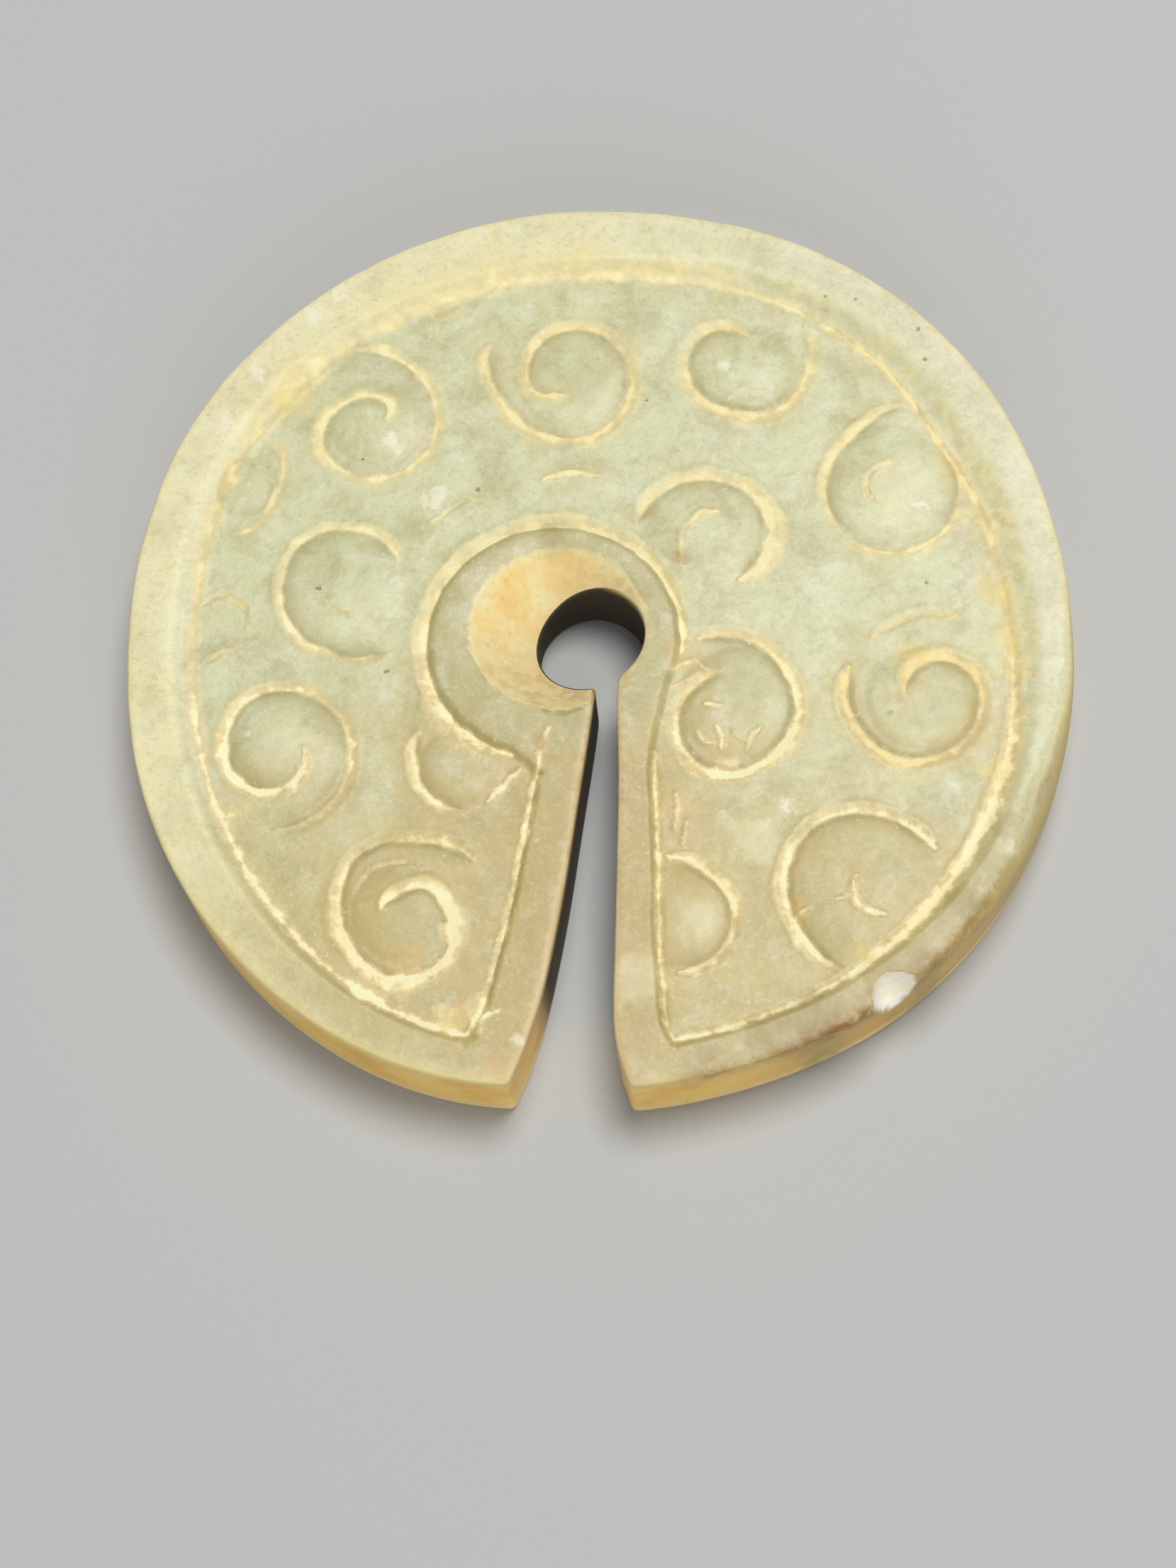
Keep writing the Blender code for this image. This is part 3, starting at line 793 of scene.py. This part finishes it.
soil_group, given, put = effect(
    "caked soil",
    [("At", VECTOR), ("Amount", FLOAT), ("Near", FLOAT), ("Warm", FLOAT), ("Under", COLOUR)],
    [("Colour", COLOUR), ("Mask", FLOAT)],
)
at = given["At"]
low_down = ramp(part(at, 1), -6.0, 6.0, 1.0, 0.15)
torn = noise(at, 1.9, 5, 0.66)
smooth = noise(at, 1.5, 2, 0.4)
torn = (torn - smooth) * low_down + smooth
clumps = noise(at, 0.8, 3, 0.6)
flecks = noise(at, 3.2, 4, 0.7)
held = (torn - 0.5) * 1.7 + least(given["Amount"], 1.1)
held = (clumps - 0.5) * 1.2 + held
near_line = ramp(given["Amount"], 0.0, 0.35)
thin = ramp(held, -0.1, 0.65) * near_line
thick = ramp(held, 0.48, 0.86) * near_line
crumbs = ramp(flecks, 0.6, 0.74) * ramp(given["Near"], 0.1, 0.8, 0.0, 0.9)
thick = most(thick, crumbs)
pale = mix(given["Warm"], (231, 221, 164), (222, 190, 120))
pale = mix(low_down * 0.8, pale, (224, 202, 146))
whitest = ramp(held, 0.62, 1.0) * (low_down * 0.5 + 0.55)
bright = mix(whitest, (238, 222, 160), (255, 252, 210))
pinkish = ramp(noise(at, 0.35, 2, 0.5), 0.42, 0.58)
bright = mix(pinkish * low_down * 0.45, bright, (253, 234, 186))
bright = mix(given["Warm"] * 0.8, bright, (250, 224, 148))
colour = mix(thin * 0.8, given["Under"], pale)
fill(put["Colour"], mix(thick, colour, bright))
fill(put["Mask"], thick)

jade = bpy.data.materials.new("worn_jade")
jade.use_nodes = True
shader = jade.node_tree.nodes["Principled BSDF"].inputs


def kept(name):
    return node(jade.node_tree, "ShaderNodeAttribute", out=2, attribute_name=name)


def clouds(scale, start, end, low_value=0.0, high_value=1.0, detail=4, roughness=0.6):
    return ramp(noise(here, scale, detail, roughness), start, end, low_value, high_value)


def patches(places):
    """The union of several ragged patches, each given by its centre, its size and how ragged it is."""
    together = None
    for x, y, size, ragged in places:
        patch = place(patch_group, At=here, Wander=wander, Centre=(x, y, 0), Size=size, Ragged=ragged)
        together = patch["Mask"] if together is None else most(together, patch["Mask"])
    return together


here = node(jade.node_tree, "ShaderNodeTexCoord", out=3) * (1 / MM) + (*middle, 0)
across, up, height = (part(here, axis) for axis in range(3))
wander = noise(here, 1.3, 4, 0.65, out=1) - (0.5, 0.5, 0.5)
field, wall, edge, hollow = kept("field"), kept("wall"), kept("edge"), kept("hollow")
stone = place(stone_group, At=here, Field=field, Collar=kept("collar"), Rim=kept("rim"))
colour = stone["Colour"]
# Ochre has soaked into the stone beside some lines and in places along the border. The border's slope at
# the right and the top is painted lighter in the same yellow, painted light over the shade that falls
# there.
OCHRE = [
    (15.3, 6.8, 1.0, 2.4), (16.3, 4.5, 1.2, 2.4), (16.9, 1.2, 1.1, 2.2), (17.1, -2.4, 1.0, 2.2),
    (-12.7, 12.1, 1.2, 2.2), (-13.8, 10.4, 0.9, 1.8), (-6.5, 15.6, 0.9, 2.0), (13.2, -3.0, 0.7, 1.4),
]
blotch = noise(here, 0.5, 4, 0.65)
mottle = noise(here, 1.8, 4, 0.6)
ochre_and_slope_light = kept("halo") * ramp(blotch, 0.35, 0.62, 0.25, 1.0)
ochre_and_slope_light = most(ochre_and_slope_light, patches(OCHRE) * ramp(blotch, 0.3, 0.6, 0.3, 0.9))
# Painted light: a little real yellowing, laid on lighter where shade falls on the border's slope.
painted_light_on_slope = field * (1.0 - field) * 4.0
painted_light_on_slope = painted_light_on_slope * most(ramp(across, 9.0, 13.0), ramp(up, 12.0, 15.0))
painted_light_on_slope = painted_light_on_slope * ramp(up, -8.0, -3.0)
ochre_and_slope_light = most(ochre_and_slope_light, painted_light_on_slope * ramp(blotch, 0.36, 0.62, 0.1, 0.75))
ochre_and_slope_light_colour = mix(ramp(mottle, 0.4, 0.58), (206, 188, 122), (231, 217, 154))
colour = mix(ochre_and_slope_light * 0.8, colour, ochre_and_slope_light_colour)
# Dark olive shade is painted along the steep side of each line, weaker towards the top. Lower down the
# stone beside it is browned, with a few orange spots.
cakes = noise(here, 0.9, 4, 0.6)
painted_shade_mask = kept("painted_shade") * ramp(cakes, 0.3, 0.7, 0.35, 0.9)
painted_shade_mask = painted_shade_mask * ramp(up, -4.0, 8.0, 1.0, 0.6)
colour = mix(painted_shade_mask, colour, (164, 152, 98))
browned = ramp(up, -12.0, 4.0, 0.9, 0.3)
browned = browned * clouds(0.42, 0.42, 0.6)
browned = browned * (ramp(kept("near"), 0.0, 0.8) * field)
browned = browned * ramp(across, -12.0, -8.0, 0.4, 1.0)
colour = mix(browned * 0.85, colour, (198, 178, 120))
ORANGE = [
    (-3.8, -18.9, 0.7, 1.6), (3.5, -1.4, 0.7, 1.6), (-7.6, -14.2, 0.9, 2.0), (-5.3, -16.6, 0.5, 1.2),
    (5.0, -5.9, 0.8, 1.8), (3.4, -8.2, 0.7, 1.8), (8.0, -12.6, 0.7, 2.0),
]
colour = mix(patches(ORANGE) * 0.45, colour, (214, 174, 104))
# The cone keeps a bright yellow crescent, orange in places and speckled brown. It is dirty below that, and
# its brim is pale.
speckle = clouds(2.8, 0.5, 0.74, 0.0, 0.55, roughness=0.7)
crescent = mix(ramp(blotch, 0.3, 0.7), (255, 222, 146), (255, 246, 190))
crescent = mix(speckle, crescent, (214, 172, 104))
deep_orange = patches([(-1.2, 2.7, 1.2, 0.8), (-3.6, 1.4, 0.8, 1.4)]) * 0.6
crescent = mix(deep_orange, crescent, (246, 204, 118))
dirty = mix(ramp(mottle, 0.42, 0.56), (196, 172, 120), (220, 202, 150))
cone = kept("cone")
colour = mix(cone, colour, mix(kept("crescent"), dirty, crescent))
brim = clamped(cone * (1.0 - cone) * 3.4)
colour = mix(brim * ramp(cakes, 0.35, 0.6, 0.2, 0.9), colour, (238, 222, 162))
# The walls are orange tan and olive at the right. Near the foot they are painted paler, as painted light
# glowing through the stone's lower edge.
streak = noise(here * (0.6, 0.6, 1.0), 0.5, 3, 0.5)
wall_colour = mix(ramp(streak, 0.35, 0.65), (234, 182, 78), (250, 210, 112))
at_right = ramp(across, 13.0, 17.0, 0.0, 0.75)
wall_colour = mix(at_right, wall_colour, (176, 166, 120))
wall_colour = mix(ramp(up, -10.0, 4.0, 0.0, 0.7), wall_colour, (204, 190, 130))
at_lower_right = ramp(across, 5.0, 9.0) * ramp(up, -14.0, -10.0, 0.7, 0.0)
wall_colour = mix(at_lower_right, wall_colour, (206, 166, 88))
# Painted light: the foot of the wall glows paler.
painted_foot_glow = ramp(height, 0.4, 1.2, 0.85, 0.0)
wall_colour = mix(painted_foot_glow, wall_colour, (255, 222, 160))
wall_spots = patches([(3.6, -20.0, 0.35, 0.8), (6.4, -19.3, 0.25, 0.6)]) * 0.6
wall_colour = mix(wall_spots, wall_colour, (156, 114, 50))
colour = mix(wall, colour, wall_colour)
# The edges are rubbed pale, with painted highlight on top of the wear that is full along the front edge,
# and a painted highlight runs along the worn shoulder at the lower right.
wear_and_highlight = edge * clouds(1.6, 0.35, 0.6, 0.35, 0.95, roughness=0.7)
at_slit = ramp(abs(across - SLIT_MIDDLE), 2.2, 3.4, 1.0, 0.0)
wear_and_highlight_colour = mix(kept("face"), (255, 236, 156), (248, 232, 172))
wear_and_highlight_colour = mix(at_slit, wear_and_highlight_colour, (230, 206, 158))
# Along the front the edge is painted fully bright: painted light on an edge that faces away from the lamp.
wear_and_highlight = most(wear_and_highlight, edge * ramp(up, -14.0, -8.0, 1.0, 0.0))
colour = mix(wear_and_highlight, colour, wear_and_highlight_colour)
# A whitish painted highlight along the worn shoulder at the lower right.
ridge = kept("ridge") * clouds(1.5, 0.4, 0.58, 0.1, 0.9, roughness=0.7)
colour = mix(ridge, colour, (238, 232, 200))
# Some of the stone is olive and some is paler than the rest.
OLIVE = [
    (6.2, -3.2, 1.2, 1.6), (13.6, -4.0, 1.4, 1.4), (-1.6, 4.2, 1.2, 1.6), (-0.6, 11.4, 1.3, 1.6),
    (-7.5, -12.9, 1.0, 1.6), (8.6, -17.2, 1.2, 1.8), (-8.4, 11.0, 1.0, 1.6), (15.0, -6.6, 0.7, 1.6),
    (2.2, 14.6, 1.0, 1.8),
]
colour = mix(patches(OLIVE) * 0.38, colour, (178, 170, 112))
PALE = [
    (4.2, -13.0, 1.1, 1.4), (-13.0, -5.0, 1.4, 1.6), (1.6, -15.4, 1.2, 1.6), (6.6, -9.6, 1.2, 2.2),
    (12.8, 6.0, 1.9, 1.4),
]
colour = mix(patches(PALE) * 0.42, colour, (232, 228, 186))
# Soil is caked in the lines, with a few heaps where lines meet, and it has yellowed the stone round some.
HEAPS = [
    (-8.9, -15.6, 0.9, 2.0), (-7.6, -15.5, 0.9, 2.0), (-6.2, -16.6, 0.6, 1.8), (5.3, -6.5, 0.6, 1.8),
    (-4.8, -16.4, 0.6, 1.2), (-14.6, -7.9, 0.5, 1.6), (-6.0, -13.2, 0.5, 1.6),
]
heaped = patches(HEAPS) * 0.45 + kept("deposit")
heaped = heaped * (1.0 - wall)
soil = place(soil_group, At=here, Amount=heaped, Near=kept("near"), Warm=kept("halo"), Under=colour)
colour = soil["Colour"]
SOAKED = [
    (-13.2, 11.3, 1.0, 3.0), (16.6, 1.2, 0.7, 3.0), (16.9, -1.0, 0.6, 3.0), (12.9, -1.4, 0.6, 2.6),
    (-5.6, -17.0, 0.5, 1.6), (10.6, -14.6, 0.5, 1.8), (15.9, -6.8, 0.5, 1.6),
]
colour = mix(patches(SOAKED) * 0.45, colour, (230, 208, 122))
# White patches, some of them painted highlights on the bosses, and small dark and brown specks.
WHITE_AND_GLINTS = [
    (-12.4, 15.1, 0.6, 3.0), (-11.1, 16.0, 0.5, 2.8), (-14.7, 12.6, 0.5, 2.8), (-16.0, 10.1, 0.5, 2.6),
    (7.65, -8.2, 0.35, 1.6), (7.8, -17.9, 0.35, 2.0), (-3.1, -17.9, 0.3, 0.8), (-8.7, 8.7, 0.5, 2.0),
    (5.5, 12.1, 0.25, 0.8), (-14.4, -4.55, 0.16, 0.5), (-6.9, 6.2, 0.5, 2.6), (13.6, 5.2, 0.3, 2.4),
]
on_face = 1.0 - wall
colour = mix(patches(WHITE_AND_GLINTS) * on_face * 0.5, colour, (248, 244, 222))
DARK = [
    (13.76, 1.64, 0.10, 0.4), (13.8, 13.6, 0.14, 1.0), (14.1, 12.1, 0.09, 0.5), (10.0, 15.3, 0.10, 0.6),
    (-5.0, 6.5, 0.10, 0.5), (-8.7, -1.85, 0.10, 0.5), (-11.55, 1.95, 0.13, 0.8), (11.3, 15.2, 0.08, 0.5),
    (2.2, 10.6, 0.08, 0.6), (13.0, -14.8, 0.08, 0.5), (-9.9, 8.1, 0.08, 0.5),
]
colour = mix(patches(DARK) * 0.7, colour, (96, 88, 60))
RUSTY = [(3.6, 3.0, 0.45, 1.4), (12.0, -4.2, 0.14, 0.6), (-2.3, -5.3, 0.35, 1.0)]
colour = mix(patches(RUSTY) * 0.6, colour, (184, 144, 82))
# The lower right of the border is browned, the collar's top is darker brown, and the flake left a fresh
# white scar with a brown edge.
BROWNED = [
    (6.4, -17.6, 0.8, 2.2), (8.4, -17.1, 1.3, 2.0), (-1.9, 4.15, 0.6, 1.0), (13.0, -15.2, 1.0, 2.0),
    (4.4, -18.4, 0.5, 1.6), (11.4, -15.6, 0.9, 1.6), (14.6, -12.4, 0.8, 1.6), (16.4, -9.2, 0.6, 1.6),
]
colour = mix(patches(BROWNED) * 0.6, colour, (166, 148, 92))
dimmed = ramp(across * 0.8 - up, 20.0, 26.0)
dimmed = dimmed * clamped(1.0 - field - wall)
dimmed = dimmed * ramp(cakes, 0.3, 0.6, 0.3, 0.75)
colour = mix(dimmed, colour, (164, 151, 90))
# Dark brown has run along the top of the wall at the lower right. The walls inside the hole and the slit
# are painted near black, as painted shadow.
burnt = kept("burnt") * clouds(1.6, 0.3, 0.56, 0.2, 1.0, detail=5, roughness=0.7)
colour = mix(burnt * 0.95, colour, (148, 108, 52))
# The hole's and the slit's walls are painted near black here: painted shadow.
colour = mix(hollow * 0.96, colour, (40, 32, 22))
flake_colour = mix(ramp(mottle, 0.4, 0.62), (255, 253, 238), (255, 242, 214))
colour = mix(kept("flake_edge") * 0.3, colour, (206, 168, 122))
colour = mix(kept("flake"), colour, flake_colour)
fill(shader["Base Color"], colour)
dull = noise(here, 2.0, 5, 0.65) * 0.3 + 0.32
dull = most(dull, soil["Mask"] * 0.85)
dull = most(dull, stone["Bleached"] * 0.62)
dull = most(dull, most(most(hollow, kept("flake")), edge) * 0.9)
fill(shader["Roughness"], dull)
swells = noise(here, 0.9, 2, 0.5)
grit = noise(here, 4.0, 4, 0.65) * (heaped * 0.9 + 0.05)
bumps = jade.node_tree.nodes.new("ShaderNodeBump")
fill(bumps.inputs["Strength"], 0.7)
fill(bumps.inputs["Distance"], 0.06 * MM)
fill(bumps.inputs["Height"], swells + grit)
fill(shader["Normal"], Value(bumps.outputs["Normal"]))
fill(shader["Subsurface Weight"], 0.25)
fill(shader["Subsurface Scale"], 0.8 * MM)
fill(shader["Subsurface Radius"], (1.0, 0.8, 0.4))
fill(shader["IOR"], 1.6)

# ------------------------------
# The ring itself is one piece of stone: the carved face, the worn upper edge, the wall round rim, slit
# and hole, and the plain ground back, all one skin. A flake is missing from its edge at the lower right.
NEAR_LINE = 0.95
FINE_GAP = 0.115
COARSE_GAP = 0.26
BACK_GAP = 1.2
CLEAR = 0.075
BACK_CLEAR = 0.4
ROW_CELL = 0.07
DISC_REACH = 20.4
SHAKE = 0.12
HONEYCOMB = 0.866
CHIP_PLACE = (11.8, -16.2)
CHIP_REACH = 1.35
# The flake left a hollow like part of a ball that lies mostly outside the rim.
CHIP_CENTRE = (12.54, -17.26, 4.20)
CHIP_SIZE = (2.2, 1.32, 2.2)  # away from the ring's middle, along the rim, and upwards
CHIP_PUSH = (-0.865, 0.0, -0.503)
# Where the top of the wall is scorched brown: the direction, how far it spreads, and how strongly.
SCORCHES = [(298, 7, 1.0), (316, 8, 0.6), (283, 2.5, 0.6)]


def face_height(points):
    """The blank's height, crowned a little towards the rim, with the hole's cone in it."""
    from_rim = rim_radius(direction_of(points)) - distance_of(points)
    crown = CROWN_DROP * (1 - rise(from_rim, 0, CROWN_WIDTH))
    return drilled(points, THICKNESS - crown)


def gap_to(points, others):
    """How far each point lies from the nearest of the others."""
    found = KDTree(len(others))
    for i, point in enumerate(others):
        found.insert((*point, 0), i)
    found.balance()
    return np.array([found.find((*point, 0))[2] for point in points])


def hexagons(gap):
    """Points of a honeycomb over the whole disc, each shaken a little."""
    xs = np.arange(-21, 21, gap)
    ys = np.arange(-21, 21, gap * HONEYCOMB)
    grid_x, grid_y = np.meshgrid(xs, ys)
    grid_x[::2] += gap / 2
    grid = np.column_stack([grid_x.ravel(), grid_y.ravel()])
    grid += chance.uniform(-SHAKE, SHAKE, grid.shape) * gap
    return grid[distance_of(grid) < DISC_REACH]


def thinned(points, cell):
    """The points without those that share a cell with an earlier one."""
    _, first_in_cell = np.unique(np.floor(points / cell).astype(int), axis=0, return_index=True)
    return points[np.sort(first_in_cell)]


def within(points, loop):
    """Which points lie inside the closed loop."""
    found = np.zeros(len(points), bool)
    for a, b in zip(loop, np.roll(loop, -1, 0)):
        crosses = (a[1] > points[:, 1]) != (b[1] > points[:, 1])
        if crosses.any():
            met = (b[0] - a[0]) * (points[crosses, 1] - a[1]) / (b[1] - a[1]) + a[0]
            found[np.flatnonzero(crosses)[points[crosses, 0] < met]] ^= True
    return found


def triangles(boundary, inner, clear):
    """The boundary's points and those well inside it, and the triangles between them, facing up."""
    inner = inner[gap_to(inner, boundary) > clear]
    points = np.vstack([boundary, inner[within(inner, boundary)]])
    loop = [list(range(len(boundary)))]
    made = delaunay_2d_cdt([Vector(point) for point in points], [], loop, 1, 1e-6)
    return np.array([tuple(point) for point in made[0]]), [tuple(face) for face in made[2]]


all_lines = np.vstack([line for group in cut_lines.values() for line, _, _ in group])
rows = []
for group in cut_lines.values():
    for line, side, columns in group:
        left, right = columns[:, :1], columns[:, 1:2]
        for offset in (0 * left, left, -right, -right / 2, left / 2):
            rows.append(line + side * offset)


def worked(points):
    """Which points lie near a cut line or the flake, where the mesh has to be fine."""
    return (gap_to(points, all_lines) < NEAR_LINE) | (distance_of(points, CHIP_PLACE) < CHIP_REACH)


fine = hexagons(FINE_GAP)
fine = fine[worked(fine)]
coarse = hexagons(COARSE_GAP)
coarse = coarse[~worked(coarse)]
rows = thinned(np.vstack(rows), ROW_CELL)
inner = np.vstack([rows, fine[gap_to(fine, rows) > CLEAR], coarse])
face_edge = outline + inwards * arris[:, None]
flat, faces = triangles(face_edge, inner, CLEAR)
count = len(outline)
vertices = [np.column_stack([flat, face_height(flat)])]
edge_height = face_height(face_edge)
drops = arris * np.where(on_rim > 0.5, WORN_ARRIS_DROP, 1.0)
levels = []
for step in range(1, ARRIS_STEPS + 1):
    share = step / ARRIS_STEPS
    turn = math.radians(90 * share)
    inset = arris * (0.5 * (1 - math.sin(turn)) + 0.5 * (1 - share))
    drop = drops * (0.5 * (1 - math.cos(turn)) + 0.5 * share)
    levels.append((inset, edge_height - drop))
for step in range(1, WALL_STEPS + 1):
    share = step / WALL_STEPS
    levels.append((0 * arris, (edge_height - drops) * (1 - share) + FOOT_ROUND * share))
for step in range(1, FOOT_STEPS + 1):
    turn = math.radians(90 * step / FOOT_STEPS)
    inset, height = FOOT_ROUND * (1 - math.cos(turn)), FOOT_ROUND * (1 - math.sin(turn))
    levels.append((inset + 0 * arris, height + 0 * arris))
above = list(range(count))
for inset, height in levels:
    ring = outline + inwards * inset[:, None]
    start = sum(len(part) for part in vertices)
    vertices.append(np.column_stack([ring, height]))
    below = list(range(start, start + count))
    for i in range(count):
        j = (i + 1) % count
        faces.append((below[i], below[j], above[j], above[i]))
    above = below
back_edge = vertices[-1][:, :2]
back_flat, back_faces = triangles(back_edge, hexagons(BACK_GAP), BACK_CLEAR)
start = sum(len(part) for part in vertices)
vertices.append(np.column_stack([back_flat[count:], np.zeros(len(back_flat) - count)]))
for face in back_faces:
    faces.append(tuple(above[i] if i < count else start + i - count for i in reversed(face)))
vertices = np.vstack(vertices)

# The flake: the skin that lay inside the ball is pushed in as far as the ball's surface.
outwards = np.array([*CHIP_CENTRE[:2], 0]) / np.hypot(*CHIP_CENTRE[:2])
axes = np.array([outwards, (-outwards[1], outwards[0], 0), (0, 0, 1)])
from_chip = (vertices - np.array(CHIP_CENTRE)) @ axes.T / CHIP_SIZE
way = np.array(CHIP_PUSH) / CHIP_SIZE
a, b, c = way @ way, from_chip @ way, (from_chip**2).sum(1) - 1
travel = np.where(c < 0, (-b + np.sqrt(np.maximum(b**2 - a * c, 0))) / a, 0)
vertices = vertices + travel[:, None] * (np.array(CHIP_PUSH) @ axes)

mesh = bpy.data.meshes.new("carved_ring")
mesh.from_pydata(((vertices - (*middle, 0)) * MM).tolist(), [], faces)


def store(mesh, name, values):
    """Keeps one value at each point of the mesh, a number or a direction in the plane."""
    values = np.asarray(values, np.float32)
    if values.ndim == 2:
        values = np.column_stack([values, np.zeros(len(values), np.float32)])
        mesh.attributes.new(name, "FLOAT_VECTOR", "POINT").data.foreach_set("vector", values.ravel())
    else:
        mesh.attributes.new(name, "FLOAT", "POINT").data.foreach_set("value", values)


face_count = len(flat)
is_face = np.arange(len(vertices)) < face_count
directions = direction_of(vertices)
from_edge = gap_to(vertices[:, :2], outline)
from_rim = rim_radius(directions) - distance_of(vertices)
below_edge = THICKNESS - vertices[:, 2]
in_cone = rise(CONE_RADIUS - distance_of(vertices, CONE_CENTRE), -0.05, 0.2) * (vertices[:, 2] > 0.5)
near_mouth = rise(vertices[:, 1], -15.0, -17.5)
inner_wall = np.where(is_face | (from_rim < 0.3), 0, rise(below_edge, 0.25, 0.8))
store(mesh, "face", is_face)
store(mesh, "flake", rise(-c, -0.04, 0.06))
store(mesh, "flake_edge", np.exp(-((c / 0.15) ** 2)))
store(mesh, "collar", rise(COLLAR_RADIUS - distance_of(vertices, COLLAR_CENTRE), 0, 0.4) * (1 - in_cone))
store(mesh, "rim", np.exp(-((np.clip(from_rim, 0, None) / 1.6) ** 2)))
store(mesh, "edge", np.where(is_face, np.exp(-from_edge / 0.18), np.exp(-below_edge / 0.3)))
store(mesh, "cone", in_cone * is_face)
store(mesh, "crescent", bump(direction_of(vertices, CONE_CENTRE), 135, 60) ** 0.7)
store(mesh, "wall", np.where(is_face, 0, rise(below_edge, 0.2, 0.5)))
# Where the material paints shadow: the walls inside the hole and the slit, away from the mouth.
store(mesh, "hollow", inner_wall * (1 - near_mouth))
# The worn shoulder at the lower right, where a painted highlight lies along it.
ridge = np.exp(-(((from_rim - 0.55) / 0.17) ** 2)) * bump(directions, 327, 12)
store(mesh, "ridge", (vertices[:, 2] > 2.6) * ridge)
down_from_top = np.where(is_face, from_rim / 0.5, (below_edge - 0.2) / 0.9)
below_top = np.exp(-(down_from_top**2)) * (from_rim < 1.0)
scorched = sum(share * bump(directions, place, spread) for place, spread, share in SCORCHES)
store(mesh, "burnt", below_top * scorched)


def stand(name, data):
    """A new object in the scene."""
    obj = bpy.data.objects.new(name, data)
    bpy.context.scene.collection.objects.link(obj)
    return obj


ring = stand("carved_ring", mesh)


def guide(name, points, **columns):
    """A mesh of loose points with an attribute for each column, for a tree to look up."""
    made = bpy.data.meshes.new(name)
    flat_points = (np.asarray(points)[:, :2] - middle) * MM
    made.from_pydata([(x, y, 0) for x, y in flat_points], [], [])
    for column, values in columns.items():
        store(made, column, values)
    return stand(name, made)


def shape(tree, **values):
    """Adds one of the shaping trees to the ring, with its inputs set."""
    modifier = ring.modifiers.new(tree.name, "NODES")
    modifier.node_group = tree
    for item in tree.interface.items_tree:
        if item.in_out == "INPUT" and item.name in values:
            modifier[item.identifier] = values[item.name]


field_outline = np.vstack([border_line, line_left[::-1], collar_line[::-1], line_right])
field_inwards = leftwards(field_outline, closed=True)
slopes = np.full(len(field_outline), BAND_SLOPE)
slopes[: len(border_line)] = round_about(border_at, BORDER_SLOPES)
slopes[len(border_line) + len(line_left) :] = RIGHT_BAND_SLOPE
guides = [guide("field_outline", field_outline, inwards=field_inwards, slope=slopes * MM)]
shape(sinking, Outline=guides[0], Depth=FIELD_DEPTH * MM, Material=jade)
bosses = np.array(bosses)
guides.append(guide("bosses", bosses, radius=bosses[:, 2] * MM))
floor = THICKNESS - FIELD_DEPTH
shape(doming, Bosses=guides[1], Floor=floor * MM, Height=BOSS_HEIGHT * MM, Material=jade)
NAMES = ["left", "right", "depth", "cream_left", "cream_right", "stain_left", "stain_right"]
LENGTHS = len(NAMES)
NAMES += ["amount", "warmth"]
for seed, (group, lines) in enumerate(cut_lines.items()):
    columns = np.vstack([columns for _, _, columns in lines])
    columns[:, :LENGTHS] *= MM
    sides = np.vstack([side for _, side, _ in lines])
    points = np.vstack([line for line, _, _ in lines])
    guides.append(guide(group, points, leftward=sides, **dict(zip(NAMES, columns.T))))
    shape(
        cutting, Lines=guides[-1], Unevenness=0.35 * MM, Seed=float(seed), Fill=0.14 * MM, Halo=1.4 * MM,
        Top=THICKNESS * MM, Material=jade,
    )
bpy.context.view_layer.update()
graph = bpy.context.evaluated_depsgraph_get()
shaped = ring.evaluated_get(graph)
carved = bpy.data.meshes.new_from_object(shaped, preserve_all_data_layers=True, depsgraph=graph)
ring.modifiers.clear()
ring.data = carved
for obj in guides:
    bpy.data.objects.remove(obj, do_unlink=True)
carved.shade_smooth()
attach(ring, "root")
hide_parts("slit_ring")

# ------------------------------
# The ring lies on a plain pale board under a wide soft lamp, with a weaker one to fill the shadows.
board_mesh = bpy.data.meshes.new("board")
half = 1.2
corners = [(-half, -half, 0), (half, -half, 0), (half, half, 0), (-half, half, 0)]
board_mesh.from_pydata(corners, [], [(0, 1, 2, 3)])
board = stand("board", board_mesh)
card = bpy.data.materials.new("pale_board")
card.use_nodes = True
card_shader = card.node_tree.nodes["Principled BSDF"].inputs
fill(card_shader["Base Color"], (0.52, 0.53, 0.53, 1))
fill(card_shader["Roughness"], 0.85)
board_mesh.materials.append(card)


def lamp(name, where, size, power, colour):
    light = bpy.data.lights.new(name, "AREA")
    light.shape = "DISK"
    light.size = size
    light.energy = power
    light.color = colour
    obj = stand(name, light)
    obj.location = where
    obj.rotation_euler = Vector(where).to_track_quat("Z", "Y").to_euler()


lamp("key", (0.080, 0.120, 0.480), 0.26, 1.85, (1.0, 0.985, 0.95))
lamp("front", (0.03, -0.45, 0.20), 0.40, 0.75, (1.0, 1.0, 1.0))
world = bpy.data.worlds.new("studio")
world.use_nodes = True
fill(world.node_tree.nodes["Background"].inputs["Color"], (1, 1, 1, 1))
fill(world.node_tree.nodes["Background"].inputs["Strength"], 0.22)
bpy.context.scene.world = world
bpy.context.scene.view_settings.view_transform = "Standard"

CAMERA = Vector((5.276, -49.483, 110.809))
AIM = Vector((-0.310, -7.173, 4.0))
LENS = 65.1
camera = bpy.data.cameras.new("camera")
camera.lens = LENS
camera.sensor_width = 36
camera.clip_start = 0.01
viewer = stand("camera", camera)
back = (CAMERA - AIM).normalized()
right = Vector((0, 1, 0)).cross(back).normalized()
turned = Matrix((right, back.cross(right), back)).transposed().to_4x4()
shift = Vector((*middle, 0))
viewer.matrix_world = Matrix.Translation((CAMERA - shift) * MM) @ turned
bpy.context.scene.camera = viewer
